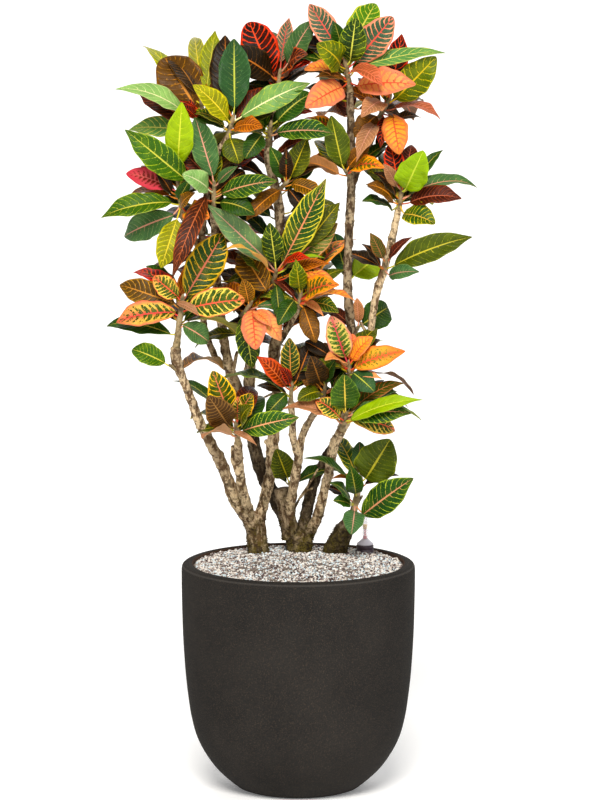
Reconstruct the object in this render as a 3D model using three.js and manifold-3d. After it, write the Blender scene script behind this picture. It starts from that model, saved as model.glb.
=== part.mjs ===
// A potted croton: an egg-shaped planter filled with stone granules, a water gauge,
// three woody trunks with their branches, and the leafy heads that grow on them.
// Millimetres, +Z up, the front of the plant looks towards -Y.
// The origin is the middle of the planter's flat foot.
import * as THREE from 'three'
import { mergeVertices } from 'three/addons/utils/BufferGeometryUtils.js'
import Module from 'manifold-3d'

const wasm = await Module()
wasm.setup()

// ---- driving sizes ----
const seatGap = 0.35          // clearance between pieces that rest on each other
const footRadius = 96
const wallSides = 24
const mouthRadius = 193.5      // the planter's opening
const floorHeight = 20        // the planter's floor, on its inside
const fillGap = 0.5           // between the granules and the planter's wall
const fillEdge = 419          // height of the granules at the wall
const fillMound = 11          // how much higher they lie in the middle
const bladeThick = 0.9
const stalkThick = 3
const stalkHalf = 1.5
const shortStalk = 15         // a blade on a stalk shorter than this narrows straight to the shoot
const shortLeaf = 145         // a blade shorter than this has one row less
const foldedWidth = 50        // a blade this wide or wider is folded along its midrib
const limbSides = 6
const mergeWithin = 1e-4

// Heights in the tables are the ones that line up when the plant is seen from the front,
// by an eye this far in front and this high up, so a place further back stands lower.
const eyeDistance = 13816
const eyeHeight = 2989

function place(x, y, seen) {
  return new THREE.Vector3(x, y, seen - (y * (eyeHeight - seen)) / eyeDistance)
}

// ---- solids ----
function toSolid(geometry) {
  const bare = geometry.clone()
  bare.deleteAttribute('normal')
  bare.deleteAttribute('uv')
  const merged = mergeVertices(bare, mergeWithin)
  const index = merged.index.array
  const kept = []
  for (let i = 0; i < index.length; i += 3) {
    const [a, b, c] = [index[i], index[i + 1], index[i + 2]]
    if (a !== b && b !== c && c !== a) kept.push(a, b, c)
  }
  return new wasm.Manifold(new wasm.Mesh({
    numProp: 3,
    vertProperties: new Float32Array(merged.attributes.position.array),
    triVerts: new Uint32Array(kept),
  }))
}

function toGeometry(solid) {
  const mesh = solid.getMesh()
  const geometry = new THREE.BufferGeometry()
  geometry.setAttribute('position', new THREE.BufferAttribute(new Float32Array(mesh.vertProperties), 3))
  geometry.setIndex(new THREE.BufferAttribute(new Uint32Array(mesh.triVerts), 1))
  geometry.computeVertexNormals()
  return geometry
}

function joined(solids) {
  let whole = solids[0]
  for (const solid of solids.slice(1)) whole = whole.add(solid)
  return whole
}

// The largest body: what a cut leaves loose beside it is dropped.
function largestBody(solid) {
  return solid.decompose().sort((a, b) => b.volume() - a.volume())[0]
}

function turned(profile, sides) {
  const points = profile.map(([radius, height]) => new THREE.Vector2(radius, height))
  return new THREE.LatheGeometry(points, sides).rotateX(Math.PI / 2)
}

// ---- planter ----
const outerWall = [[footRadius, 0], [112, 5], [148, 36], [172, 68], [188, 100], [197.5, 135], [203, 170],
  [208.5, 220], [213, 290], [215, 360], [215.5, 408], [214.5, 419.5], [207, 424], [197, 424],
  [mouthRadius, 420]]
const innerWall = [[mouthRadius, 300], [189, 200], [178, 132], [162, 88], [138, 55], [108, 32],
  [60, floorHeight]]

function planterSolid() {
  return toSolid(turned([[0, 0], ...outerWall, ...innerWall, [0, floorHeight]], wallSides))
}

// ---- granules: the fill of the planter, its top in low bumps and hollows ----
const fillTopRings = 5

function granuleRelief(x, y) {
  return 1.3 * Math.sin(x * 0.11 + 0.6) * Math.cos(y * 0.13) + 0.9 * Math.sin((x + y) * 0.19 + 1.1)
}

function granulesSolid() {
  const sides = innerWall.map(([radius, height]) => [radius - fillGap, height + fillGap]).reverse()
  const edge = mouthRadius - fillGap
  const top = []
  for (let ring = 0; ring < fillTopRings; ring += 1) {
    const radius = edge * (1 - ring / fillTopRings)
    top.push([radius, fillEdge + fillMound * (1 - (radius / edge) ** 2)])
  }
  const profile = [[0, floorHeight + fillGap], ...sides, ...top, [0, fillEdge + fillMound]]
  const geometry = turned(profile, wallSides)
  const spots = geometry.attributes.position
  for (let i = 0; i < spots.count; i += 1) {
    const [x, y, z] = [spots.getX(i), spots.getY(i), spots.getZ(i)]
    if (z > fillEdge + 0.1) spots.setZ(i, z + granuleRelief(x, y))
  }
  return toSolid(geometry)
}

// ---- water gauge: a dark shaft in the granules, a clear tube, and the float in it ----
const gaugeX = 124
const gaugeY = 115
const gaugeSides = 10
const shaftTop = 436
const shaftFoot = 220
const shaftRadius = 16
const boreRadius = 4.2
const boreFoot = 330
const tubeTop = 520
const tubeRadius = 5.5
const tubeWall = 1.2
const collarHeight = 11       // the cone between the tube and its seat on the shaft
const stemRadius = 1.2
const floatRadius = 3.4
const floatFoot = 444
const floatTop = 452
const pointerRadius = 3.6
const pointerFoot = 466
const pointerTop = 474

function gaugeSolids() {
  const shaft = [[0, shaftFoot], [shaftRadius, shaftFoot], [shaftRadius, shaftTop], [boreRadius, shaftTop],
    [boreRadius, boreFoot], [0, boreFoot]]
  const foot = shaftTop + seatGap
  const neck = foot + collarHeight
  const inside = tubeRadius - tubeWall
  const tube = [[0, tubeTop + 3], [3.5, tubeTop + 2], [tubeRadius, tubeTop], [tubeRadius, neck],
    [shaftRadius - 0.5, foot + 1], [shaftRadius - 0.5, foot], [shaftRadius - 2.5, foot],
    [inside, neck - 0.5], [inside, tubeTop - 0.5], [0, tubeTop]]
  const float = [[0, boreFoot + seatGap], [stemRadius, boreFoot + seatGap], [stemRadius, floatFoot],
    [floatRadius, floatFoot], [floatRadius, floatTop], [stemRadius, floatTop],
    [stemRadius, pointerFoot - seatGap], [0, pointerFoot - seatGap]]
  const pointer = [[0, pointerFoot], [pointerRadius, pointerFoot], [pointerRadius, pointerTop],
    [0, pointerTop]]
  const stand = (profile) => toSolid(turned(profile, gaugeSides)).translate([gaugeX, gaugeY, 0])
  return { gauge_shaft: stand(shaft), gauge_tube: stand([...tube].reverse()), gauge_float: stand(float),
    gauge_pointer: stand(pointer) }
}

// ---- wood: each limb is a list of places along it, [x, y, seen height, diameter] ----
const limbs = {
  trunk_left: [
    [[-72, 88, 350, 34], [-72, 86, 420, 38], [-77, 83, 470, 38], [-82, 78, 505, 40]],
    [[-82, 78, 495, 28], [-98, 68, 515, 26], [-118, 50, 545, 24], [-136, 30, 595, 22], [-158, 5, 640, 20],
      [-183, -15, 690, 18], [-197, -28, 730, 17], [-211, -40, 765, 16], [-223, -50, 800, 20],
      [-224, -53, 822, 19]],
    [[-84, 78, 490, 22], [-92, 58, 520, 20], [-103, 30, 560, 18], [-110, 0, 610, 17], [-110, -38, 646, 16]],
    [[-76, 80, 492, 22], [-64, 79, 535, 20], [-52, 74, 590, 21], [-48, 66, 640, 24], [-41, 52, 700, 16],
      [-41, 38, 760, 17], [-45, 25, 810, 22], [-40, 19, 850, 16], [-36, 16, 885, 14], [-50, 12, 930, 13],
      [-45, 8, 980, 14], [-36, 0, 1030, 17], [-35, -4, 1080, 18], [-43, -8, 1125, 18], [-53, -10, 1165, 16],
      [-54, -8, 1205, 14], [-46, 5, 1250, 11], [-40, 18, 1284, 10]],
    [[-43, 22, 826, 13], [-25, 5, 850, 12], [-8, -15, 880, 10], [0, -28, 900, 9]],
    [[-48, 66, 640, 10], [-60, 62, 650, 8]],
    [[-110, 4, 590, 9], [-119, -6, 612, 9], [-120, -12, 640, 8]],
  ],
  trunk_middle: [
    [[2, 92, 350, 42], [2, 91, 420, 46], [0, 90, 475, 44]],
    [[-6, 86, 455, 24], [-15, 72, 520, 20], [-10, 55, 560, 18], [-3, 38, 600, 17], [0, 28, 622, 16],
      [-9, 15, 655, 13], [-11, -5, 695, 12], [-14, -23, 722, 12]],
    [[0, 30, 616, 14], [6, 18, 655, 13], [16, 5, 680, 13], [30, -10, 702, 12], [43, -22, 721, 11]],
    [[4, 92, 458, 26], [18, 100, 530, 22], [30, 100, 575, 20], [50, 96, 620, 16], [72, 88, 655, 14],
      [88, 70, 710, 12], [98, 38, 800, 14], [100, 25, 840, 17], [93, 15, 900, 17], [90, 10, 960, 16],
      [94, 2, 1060, 16], [97, 0, 1140, 16], [95, -4, 1296, 13]],
    [[97, 1, 1125, 14], [108, 7, 1150, 12], [116, 11, 1168, 11], [132, 16, 1205, 11], [146, 22, 1246, 11]],
    [[97, -1, 1150, 10], [107, -7, 1172, 8]],
    [[10, 84, 450, 24], [22, 78, 480, 20], [36, 63, 510, 19], [47, 44, 555, 17], [58, 22, 600, 17],
      [66, 0, 645, 17], [80, -20, 675, 14], [88, -34, 715, 11], [94, -45, 760, 10]],
    [[64, 4, 638, 15], [84, 6, 676, 14], [106, 2, 722, 13], [120, 0, 780, 13], [130, -2, 830, 13],
      [137, -5, 890, 13], [146, -8, 935, 15], [157, -11, 968, 14], [168, -14, 1010, 14],
      [183, -20, 1080, 12]],
    [[129, -2, 845, 7], [114, -6, 871, 5]],
    [[-4, 94, 462, 30], [-38, 105, 535, 28], [-62, 105, 580, 26], [-78, 100, 625, 24], [-88, 92, 680, 24],
      [-95, 84, 725, 26]],
    [[-95, 85, 716, 22], [-118, 74, 760, 20], [-130, 64, 800, 18], [-137, 54, 840, 17], [-144, 38, 890, 17],
      [-150, 18, 960, 16], [-152, -10, 1040, 16], [-155, -33, 1082, 13]],
    [[-128, 68, 786, 14], [-150, 64, 802, 12], [-163, 57, 830, 12], [-172, 50, 860, 11], [-178, 38, 910, 12],
      [-177, 18, 1000, 12], [-175, 8, 1055, 13], [-165, -4, 1120, 12], [-152, -14, 1180, 12]],
    [[-153, -14, 1172, 11], [-160, -12, 1203, 10], [-171, -10, 1228, 10]],
    [[-153, -13, 1174, 11], [-142, -24, 1195, 10], [-129, -35, 1214, 10]],
    [[-177, 20, 990, 11], [-195, 2, 1040, 11], [-211, -12, 1066, 11]],
    [[-94, 82, 718, 22], [-90, 66, 770, 21], [-88, 45, 810, 18], [-95, 16, 860, 15], [-101, -8, 886, 13]],
    [[-122, 72, 776, 8], [-113, 66, 816, 6]],
    [[-14, 90, 470, 28], [-33, 87, 562, 27]],
  ],
  trunk_right: [
    [[60, 96, 350, 40], [62, 92, 410, 44], [68, 84, 443, 44], [80, 66, 474, 38], [94, 50, 500, 26],
      [100, 42, 514, 18]],
  ],
}

function limbSolid(path, grow = 0) {
  const places = path.map(([x, y, seen]) => place(x, y, seen))
  const last = places.length - 1
  if (grow > 0) {
    const head = places[last].clone().sub(places[last - 1]).setLength(grow)
    places[last] = places[last].clone().add(head)
  }
  const tube = new THREE.CylinderGeometry(1, 1, last, limbSides, last)
  const spots = tube.attributes.position
  const across = new THREE.Vector3(0, 1, 0)
  for (let i = 0; i < spots.count; i += 1) {
    const ring = Math.round(spots.getY(i) + last / 2)
    const along = places[Math.min(ring + 1, last)].clone().sub(places[Math.max(ring - 1, 0)]).normalize()
    const side = new THREE.Vector3().crossVectors(across, along).normalize()
    const front = new THREE.Vector3().crossVectors(along, side)
    const radius = path[ring][3] / 2 + grow
    const spot = places[ring].clone()
      .addScaledVector(side, spots.getX(i) * radius)
      .addScaledVector(front, -spots.getZ(i) * radius)
    spots.setXYZ(i, spot.x, spot.y, spot.z)
  }
  return toSolid(tube)
}

function woodSolid(name, grow = 0) {
  return joined(limbs[name].map((path) => limbSolid(path, grow)))
}

// ---- leafy heads ----
// shoot: [x, y, seen height, diameter] at its foot and at its tip.
// leaves: [blade foot x, seen height, tip x, seen height, width, reach, face, arch].
// reach is how far the tip lies behind the shoot (below zero: in front of it).
// face turns the blade's upper side: 1 to the front, 0 up, below zero to the back.
// arch is the height of the blade's bow as a share of its length.
// backs: how many more leaves stand out behind, by the rule in backLeaves.
const heads = [
  { name: 'head_top_left', shoot: [[-171, -10, 1226, 10], [-178, -16, 1288, 7]], backs: 2, leaves: [
    [-182, 1256, -245, 1362, 86, 38, 0.8, 0.08],
    [-200, 1252, -330, 1311, 42, -22, 0.45, 0.12],
    [-200, 1238, -292, 1288, 46, -24, 0.6, 0.12],
    [-190, 1284, -287, 1381, 34, 70, 0.2, 0.03],
    [-168, 1300, -152, 1413, 40, 52, 0.9, 0.05],
    [-176, 1300, -192, 1396, 32, 92, 0.9, 0.08],
    [-196, 1224, -312, 1230, 40, 34, 0.6, 0.08],
  ] },
  { name: 'head_upper_left', shoot: [[-129, -35, 1212, 10], [-118, -46, 1252, 7]], backs: 0, leaves: [
    [-116, 1268, -117, 1395, 58, -18, 0.95, 0.05],
    [-128, 1246, -189, 1310, 42, -76, 0.6, 0.1],
    [-104, 1252, 22, 1315, 46, -30, 0.7, 0.12],
    [-130, 1266, -134, 1405, 60, 42, 0.9, 0.05],
    [-118, 1230, -66, 1233, 40, -80, 0.5, 0.14],
    [-124, 1212, -108, 1166, 45, -70, 0.7, 0.12],
  ] },
  { name: 'head_top_middle', shoot: [[-40, 18, 1282, 10], [-33, 34, 1336, 7]], backs: 3, leaves: [
    [-50, 1328, -90, 1426, 68, 66, 0.9, 0.08],
    [-48, 1326, -130, 1376, 55, -18, 0.7, 0.1],
    [-32, 1352, -17, 1432, 30, 52, 0.4, 0.05],
    [-20, 1348, 28, 1430, 42, 24, 0.6, 0.1],
    [-18, 1330, 12, 1368, 50, -64, 0.6, 0.12],
    [-16, 1340, 44, 1400, 42, 78, 0.8, 0.1],
    [-20, 1312, 62, 1332, 28, 0, 0.25, 0.14],
  ] },
  { name: 'head_upper_middle', shoot: [[-54, -12, 1200, 11], [-50, -40, 1240, 7]], backs: 2, leaves: [
    [-38, 1244, 22, 1288, 45, -92, 0.6, 0.12],
    [-38, 1222, 65, 1222, 42, -62, 0.65, 0.12],
    [-66, 1218, -96, 1176, 38, -86, 0.7, 0.12],
  ] },
  { name: 'sprig_middle', shoot: [[-40, -8, 1110, 10], [-20, -28, 1132, 7]], backs: 0, leaves: [
    [-14, 1140, 15, 1210, 42, -46, 0.85, 0.06],
    [-26, 1140, -50, 1196, 34, -62, 0.7, 0.08],
    [-34, 1116, -95, 1062, 34, -66, 0.6, 0.14],
  ] },
  { name: 'head_top_right', shoot: [[95, -4, 1294, 12], [84, -10, 1366, 7]], backs: 3, leaves: [
    [76, 1372, 20, 1459, 46, 18, 0.9, 0.08],
    [90, 1372, 142, 1461, 56, 48, 0.9, 0.08],
    [94, 1352, 104, 1430, 52, -54, 0.9, 0.08],
    [104, 1352, 172, 1434, 60, -18, 0.9, 0.08],
    [76, 1344, 38, 1384, 54, -96, 0.7, 0.12],
    [102, 1340, 268, 1374, 34, -14, 0.45, 0.05],
    [98, 1338, 152, 1312, 38, -84, 0.45, 0.14],
    [108, 1308, 212, 1312, 52, -52, 0.7, 0.12],
    [80, 1306, 15, 1270, 52, -72, 0.75, 0.12],
    [76, 1326, 12, 1340, 36, -38, 0.4, 0.14],
  ] },
  { name: 'sprig_right', shoot: [[97, 0, 1138, 10], [86, -24, 1152, 7]], backs: 0, leaves: [
    [80, 1162, 60, 1252, 45, -46, 0.9, 0.06],
    [74, 1146, 5, 1165, 40, -58, -0.5, 0.1],
    [96, 1152, 154, 1160, 38, -92, 0.5, 0.14],
  ] },
  { name: 'head_right_upper', shoot: [[146, 22, 1244, 11], [168, 20, 1288, 7]], backs: 3, leaves: [
    [178, 1284, 250, 1360, 60, -12, 0.9, 0.08],
    [176, 1268, 260, 1250, 32, -14, 0.3, 0.16],
    [172, 1256, 184, 1184, 48, -42, 0.9, 0.1],
    [154, 1278, 116, 1254, 40, -66, 0.6, 0.14],
    [142, 1256, 104, 1220, 42, 24, 0.7, 0.12],
    [142, 1240, 106, 1185, 34, -14, 0.5, 0.1],
    [170, 1298, 190, 1405, 42, 70, 0.9, 0.06],
  ] },
  { name: 'head_right_middle', shoot: [[183, -20, 1078, 11], [189, -28, 1120, 7]], backs: 3, leaves: [
    [196, 1118, 226, 1186, 58, -86, 0.85, 0.08],
    [182, 1126, 168, 1206, 38, -4, 0.6, 0.06],
    [194, 1128, 208, 1202, 38, 36, 0.6, 0.08],
    [178, 1106, 140, 1150, 34, -54, 0.4, 0.12],
    [174, 1094, 128, 1126, 36, -86, 0.5, 0.14],
    [172, 1078, 118, 1098, 36, -60, 0.35, 0.14],
    [204, 1094, 296, 1103, 42, -60, 0.55, 0.14],
    [192, 1072, 248, 1054, 46, -86, 0.6, 0.12],
    [202, 1108, 328, 1126, 36, 4, 0.35, 0.14],
  ] },
  { name: 'sprig_right_low', shoot: [[157, -12, 962, 10], [161, -34, 984, 7]], backs: 0, leaves: [
    [176, 978, 316, 1031, 50, -56, 0.7, 0.12],
    [166, 958, 218, 966, 30, -90, 0.7, 0.12],
    [154, 990, 132, 1036, 26, -62, 0.7, 0.1],
    [150, 976, 118, 1018, 24, -36, 0.3, 0.1],
  ] },
  { name: 'sprig_tall_low', shoot: [[100, 24, 846, 10], [110, 34, 862, 7]], backs: 0, leaves: [
    [118, 868, 166, 900, 55, 66, 0.85, 0.1],
  ] },
  { name: 'sprig_tall_high', shoot: [[91, 11, 936, 10], [94, 34, 952, 7]], backs: 1, leaves: [
    [102, 958, 144, 992, 55, 66, 0.85, 0.1],
    [88, 962, 66, 1036, 42, 62, 0.9, 0.08],
  ] },
  { name: 'head_left_outer', shoot: [[-211, -12, 1064, 11], [-222, -24, 1146, 7]], backs: 2, leaves: [
    [-232, 1094, -360, 1068, 44, -42, 0.6, 0.12],
    [-236, 1122, -314, 1148, 40, -24, 0.65, 0.12],
    [-236, 1108, -314, 1104, 34, 22, 0.35, 0.14],
    [-228, 1070, -322, 1030, 52, 26, 0.75, 0.12],
    [-222, 1062, -250, 973, 46, -60, 0.85, 0.08],
    [-206, 1076, -164, 1066, 42, -88, 0.65, 0.14],
    [-220, 1162, -212, 1276, 52, -66, 0.95, 0.05],
    [-206, 1136, -314, 1228, 54, -44, 0.85, 0.08],
  ] },
  { name: 'head_left_inner', shoot: [[-155, -33, 1080, 11], [-153, -44, 1128, 7]], backs: 2, leaves: [
    [-156, 1142, -188, 1250, 48, -36, 0.9, 0.06],
    [-164, 1118, -208, 1146, 40, -88, 0.65, 0.12],
    [-142, 1118, -98, 1152, 38, -28, 0.6, 0.12],
    [-140, 1110, -40, 1134, 42, -76, 0.7, 0.12],
    [-142, 1094, -80, 1072, 42, -92, 0.6, 0.14],
    [-168, 1104, -230, 962, 38, -66, 0.7, 0.2],
  ] },
  { name: 'head_centre', shoot: [[-48, 12, 934, 11], [-40, -34, 968, 7]], backs: 2, leaves: [
    [-54, 984, -166, 1092, 46, -30, 0.85, 0.08],
    [-42, 982, -52, 1054, 40, -62, 0.9, 0.06],
    [-28, 982, 50, 1136, 56, -62, 0.9, 0.06],
    [-56, 972, -134, 1020, 32, -72, 0.25, 0.12],
    [-58, 930, -108, 1010, 58, 28, 0.9, 0.08],
    [-24, 954, 66, 950, 36, -76, 0.3, 0.14],
    [-20, 974, 72, 1056, 50, -8, 0.8, 0.08],
  ] },
  { name: 'head_centre_low', shoot: [[0, -28, 898, 9], [5, -42, 926, 7]], backs: 2, leaves: [
    [16, 920, 70, 946, 46, -112, 0.65, 0.12],
    [18, 914, 106, 913, 30, -56, 0.2, 0.14],
    [-8, 912, -36, 868, 34, -92, 0.7, 0.12],
    [10, 900, 32, 834, 36, -66, 0.85, 0.1],
    [16, 906, 74, 888, 34, -86, 0.5, 0.2],
    [2, 934, -4, 988, 34, -86, 0.85, 0.08],
  ] },
  { name: 'head_low_left', shoot: [[-224, -53, 820, 15], [-211, -66, 918, 8]], backs: 2, leaves: [
    [-224, 890, -333, 873, 48, -64, 0.65, 0.14],
    [-234, 850, -353, 868, 42, -14, 0.5, 0.12],
    [-226, 906, -328, 942, 50, -30, 0.8, 0.1],
    [-218, 918, -264, 956, 40, -72, 0.75, 0.1],
    [-216, 924, -304, 968, 34, 20, 0.4, 0.12],
    [-204, 922, -137, 1036, 68, -24, 0.95, 0.05],
    [-200, 898, -98, 914, 54, -72, 0.75, 0.12],
    [-210, 866, -164, 836, 40, -56, 0.7, 0.12],
  ] },
  { name: 'sprig_low_left', shoot: [[-216, -46, 778, 9], [-232, -54, 790, 7]], backs: 1, leaves: [
    [-244, 796, -304, 822, 40, -44, 0.7, 0.12],
  ] },
  { name: 'head_mid_left', shoot: [[-101, -8, 884, 11], [-86, -34, 908, 7]], backs: 1, leaves: [
    [-84, 894, -78, 822, 46, -76, 0.85, 0.12],
    [-76, 894, -32, 838, 36, -58, 0.6, 0.14],
    [-100, 884, -84, 786, 44, -34, 0.85, 0.1],
    [-74, 902, 30, 874, 32, 0, 0.5, 0.12],
  ] },
  { name: 'head_low_middle', shoot: [[-14, -23, 720, 10], [-12, -40, 756, 7]], backs: 2, leaves: [
    [-24, 752, -74, 808, 34, -60, 0.6, 0.12],
    [-14, 768, -16, 842, 36, -46, 0.6, 0.06],
    [-4, 762, 22, 830, 46, -18, 0.85, 0.08],
    [-22, 738, -58, 700, 34, -60, 0.7, 0.14],
  ] },
  { name: 'head_low_middle_right', shoot: [[43, -22, 719, 10], [50, -40, 756, 7]], backs: 1, leaves: [
    [40, 760, 24, 806, 44, -90, 0.85, 0.08],
    [52, 770, 48, 834, 40, -26, 0.9, 0.06],
    [40, 742, 0, 728, 34, -86, 0.6, 0.14],
  ] },
  { name: 'head_orange', shoot: [[94, -45, 758, 10], [92, -58, 796, 7]], backs: 1, leaves: [
    [86, 806, 60, 882, 46, -72, 0.9, 0.08],
    [98, 800, 134, 844, 36, -76, 0.5, 0.12],
    [102, 788, 194, 819, 42, -82, 0.65, 0.12],
    [84, 790, 50, 806, 34, -112, 0.4, 0.14],
    [100, 778, 138, 744, 42, -98, 0.75, 0.12],
  ] },
  { name: 'head_low_right', shoot: [[80, -20, 672, 13], [88, -64, 702, 8]], backs: 1, leaves: [
    [86, 712, 84, 772, 54, -102, 0.9, 0.08],
    [96, 690, 224, 730, 32, -124, 0.6, 0.12],
    [98, 690, 180, 656, 40, -112, 0.65, 0.14],
    [76, 694, 32, 722, 38, -108, 0.55, 0.14],
    [102, 696, 204, 708, 46, -84, 0.65, 0.14],
    [96, 706, 194, 758, 34, -52, 0.4, 0.12],
    [74, 688, -28, 714, 36, -74, 0.35, 0.14],
  ] },
  { name: 'head_base_right', shoot: [[100, 42, 512, 15], [115, 30, 580, 9]], backs: 0, leaves: [
    [124, 580, 168, 652, 76, 0, 0.9, 0.08],
    [114, 592, 113, 650, 30, 58, 0.4, 0.06],
    [106, 552, 96, 604, 34, -40, 0.75, 0.1],
    [96, 536, 60, 572, 32, -20, 0.4, 0.12],
    [118, 512, 208, 580, 58, -34, 0.75, 0.06],
    [104, 520, 98, 478, 40, -28, 0.85, 0.12],
    [102, 572, 14, 632, 34, 0, 0.35, 0.06],
  ] },
  { name: 'head_low_left_inner', shoot: [[-110, -38, 644, 13], [-114, -62, 684, 8]], backs: 2, leaves: [
    [-124, 694, -156, 780, 50, -76, 0.9, 0.08],
    [-128, 680, -162, 732, 56, -122, 0.85, 0.1],
    [-122, 662, -176, 663, 40, -112, -0.4, 0.12],
    [-110, 694, -86, 738, 38, -86, 0.7, 0.1],
    [-104, 682, -88, 716, 36, -126, 0.6, 0.1],
    [-102, 670, 0, 695, 44, -92, 0.75, 0.12],
  ] },
  { name: 'sprig_base_middle', shoot: [[-10, 56, 556, 9], [-16, 78, 572, 7]], backs: 0, leaves: [
    [-20, 582, -40, 638, 45, 76, 0.9, 0.1],
  ] },
]

// One blade with its stalk. It runs from the seat inside the shoot along the stalk to the
// blade's foot, then bows over to the tip. The margins wave, and the two halves fold up a little.
const halfFold = 0.2
const waveHeight = 0.16
const longRows = [0.18, 0.4, 0.63, 0.85]
const shortRows = [0.22, 0.52, 0.8]

function halfWidth(t) {
  return 0.5 * Math.sin(Math.PI * t ** 0.92) ** 0.72
}

function bladeSolid(leaf, options = {}) {
  const { seat, foot, tip, width, facing, arch, beat } = leaf
  const grow = options.grow ?? 0
  const columns = width < foldedWidth ? [-1, 1] : [-1, 0, 1]
  const length = foot.distanceTo(tip)
  const straight = tip.clone().sub(foot).normalize()
  const upper = facing.clone().addScaledVector(straight, -facing.dot(straight)).normalize()
  const bow = foot.clone().lerp(tip, 0.5).addScaledVector(upper, 2 * arch * length)
  const curve = new THREE.QuadraticBezierCurve3(foot, bow, tip)
  const spots = []
  let rows = 0
  const addRow = (middle, along, half, thick, t) => {
    const side = new THREE.Vector3().crossVectors(along, upper).normalize()
    const up = new THREE.Vector3().crossVectors(side, along).normalize()
    for (const column of columns) {
      const wave = waveHeight * Math.sin(t * 9.5 + beat + column * 1.3)
      const lift = column === 0 ? 0 : half * (halfFold + wave)
      const spot = middle.clone().addScaledVector(side, column * half).addScaledVector(up, lift)
      spots.push(spot.clone().addScaledVector(up, thick / 2), spot.clone().addScaledVector(up, -thick / 2))
    }
    rows += 1
  }
  const stalkWay = foot.clone().sub(seat).normalize()
  const start = options.open ? seat.clone().lerp(foot, 0.5) : seat
  if (!options.bladeOnly) addRow(start, stalkWay, stalkHalf + grow, stalkThick + grow, 0)
  if (options.bladeOnly || seat.distanceTo(foot) > shortStalk) {
    const bend = stalkWay.clone().add(straight).normalize()
    addRow(foot, bend, stalkHalf + 0.4 + grow, stalkThick * 0.8 + grow, 0)
  }
  for (const t of (length < shortLeaf ? shortRows : longRows)) {
    const half = halfWidth(t) * width + grow
    addRow(curve.getPoint(t), curve.getTangent(t).normalize(), half, bladeThick + 2 * grow, t)
  }
  const tipAlong = curve.getTangent(1).normalize()
  const tipSide = new THREE.Vector3().crossVectors(tipAlong, upper).normalize()
  const tipUp = new THREE.Vector3().crossVectors(tipSide, tipAlong).normalize()
  const tipTop = spots.push(tip.clone().addScaledVector(tipUp, bladeThick / 2 + grow)) - 1
  const tipLow = spots.push(tip.clone().addScaledVector(tipUp, -bladeThick / 2 - grow)) - 1

  // Upper and lower face are split alike; each quad turns the same way round the blade.
  const count = columns.length
  const at = (row, column, low) => (row * count + column) * 2 + low
  const faces = []
  const quad = (a, b, c, d) => faces.push(a, b, c, a, c, d)
  for (let row = 0; row + 1 < rows; row += 1) {
    for (let column = 0; column + 1 < count; column += 1) {
      quad(at(row, column, 0), at(row, column + 1, 0), at(row + 1, column + 1, 0), at(row + 1, column, 0))
      const [a, b] = [at(row, column, 1), at(row, column + 1, 1)]
      const [c, d] = [at(row + 1, column + 1, 1), at(row + 1, column, 1)]
      faces.push(a, c, b, a, d, c)
    }
    quad(at(row, 0, 1), at(row, 0, 0), at(row + 1, 0, 0), at(row + 1, 0, 1))
    quad(at(row, count - 1, 0), at(row, count - 1, 1), at(row + 1, count - 1, 1), at(row + 1, count - 1, 0))
  }
  const end = rows - 1
  for (let column = 0; column + 1 < count; column += 1) {
    faces.push(at(end, column, 0), at(end, column + 1, 0), tipTop)
    faces.push(at(end, column + 1, 1), at(end, column, 1), tipLow)
    quad(at(0, column, 1), at(0, column + 1, 1), at(0, column + 1, 0), at(0, column, 0))
  }
  quad(at(end, 0, 1), at(end, 0, 0), tipTop, tipLow)
  quad(at(end, count - 1, 0), at(end, count - 1, 1), tipLow, tipTop)
  const geometry = new THREE.BufferGeometry().setFromPoints(spots)
  geometry.setIndex(faces)
  return toSolid(geometry)
}

// Where on the shoot a leaf is seated: below its blade's foot, nearer the tip for a high leaf.
const seatRange = [0.3, 0.92] // shares of the shoot's height
const stalkRise = 0.6         // how steeply a stalk climbs from its seat
const leastStalk = 11

function seatOn(shoot, foot) {
  const [low, high] = shoot.map(([x, y, seen]) => place(x, y, seen))
  const away = Math.hypot(foot.x - high.x, 8)
  const share = (foot.z - stalkRise * away - low.z) / (high.z - low.z)
  return low.clone().lerp(high, Math.min(seatRange[1], Math.max(seatRange[0], share)))
}

function leafFrom(shoot, foot, tip, width, facing, arch, beat) {
  const seat = seatOn(shoot, foot)
  const stalk = foot.clone().sub(seat)
  if (stalk.length() < leastStalk) {
    stalk.addScaledVector(tip.clone().sub(seat).normalize(), leastStalk).setLength(leastStalk)
  }
  const radius = shoot[0][3] / 2
  return { seat: seat.clone().addScaledVector(stalk.clone().normalize(), radius * 0.3),
    foot: seat.clone().add(stalk), tip, width, facing, arch, beat }
}

const upward = new THREE.Vector3(0, 0, 1)

function tableLeaves(head) {
  const shootY = head.shoot[1][1]
  return head.leaves.map(([footX, footSeen, tipX, tipSeen, width, reach, face, arch], i) => {
    const footY = shootY + 0.12 * (reach - shootY)
    const facing = new THREE.Vector3(0, -face, 1 - Math.abs(face)).normalize()
    const tip = place(tipX, reach, tipSeen)
    return { ...leafFrom(head.shoot, place(footX, footY, footSeen), tip, width, facing, arch, i * 2.4),
      bend: new THREE.Vector3(0, 1, 0) }
  })
}

// The leaves behind a head: spread across its back by the golden angle, rising or drooping in turn.
const goldenAngle = 2.39996
const backStalk = 18
const backLength = 118
const backWidth = 44
const backArch = 0.13

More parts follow.
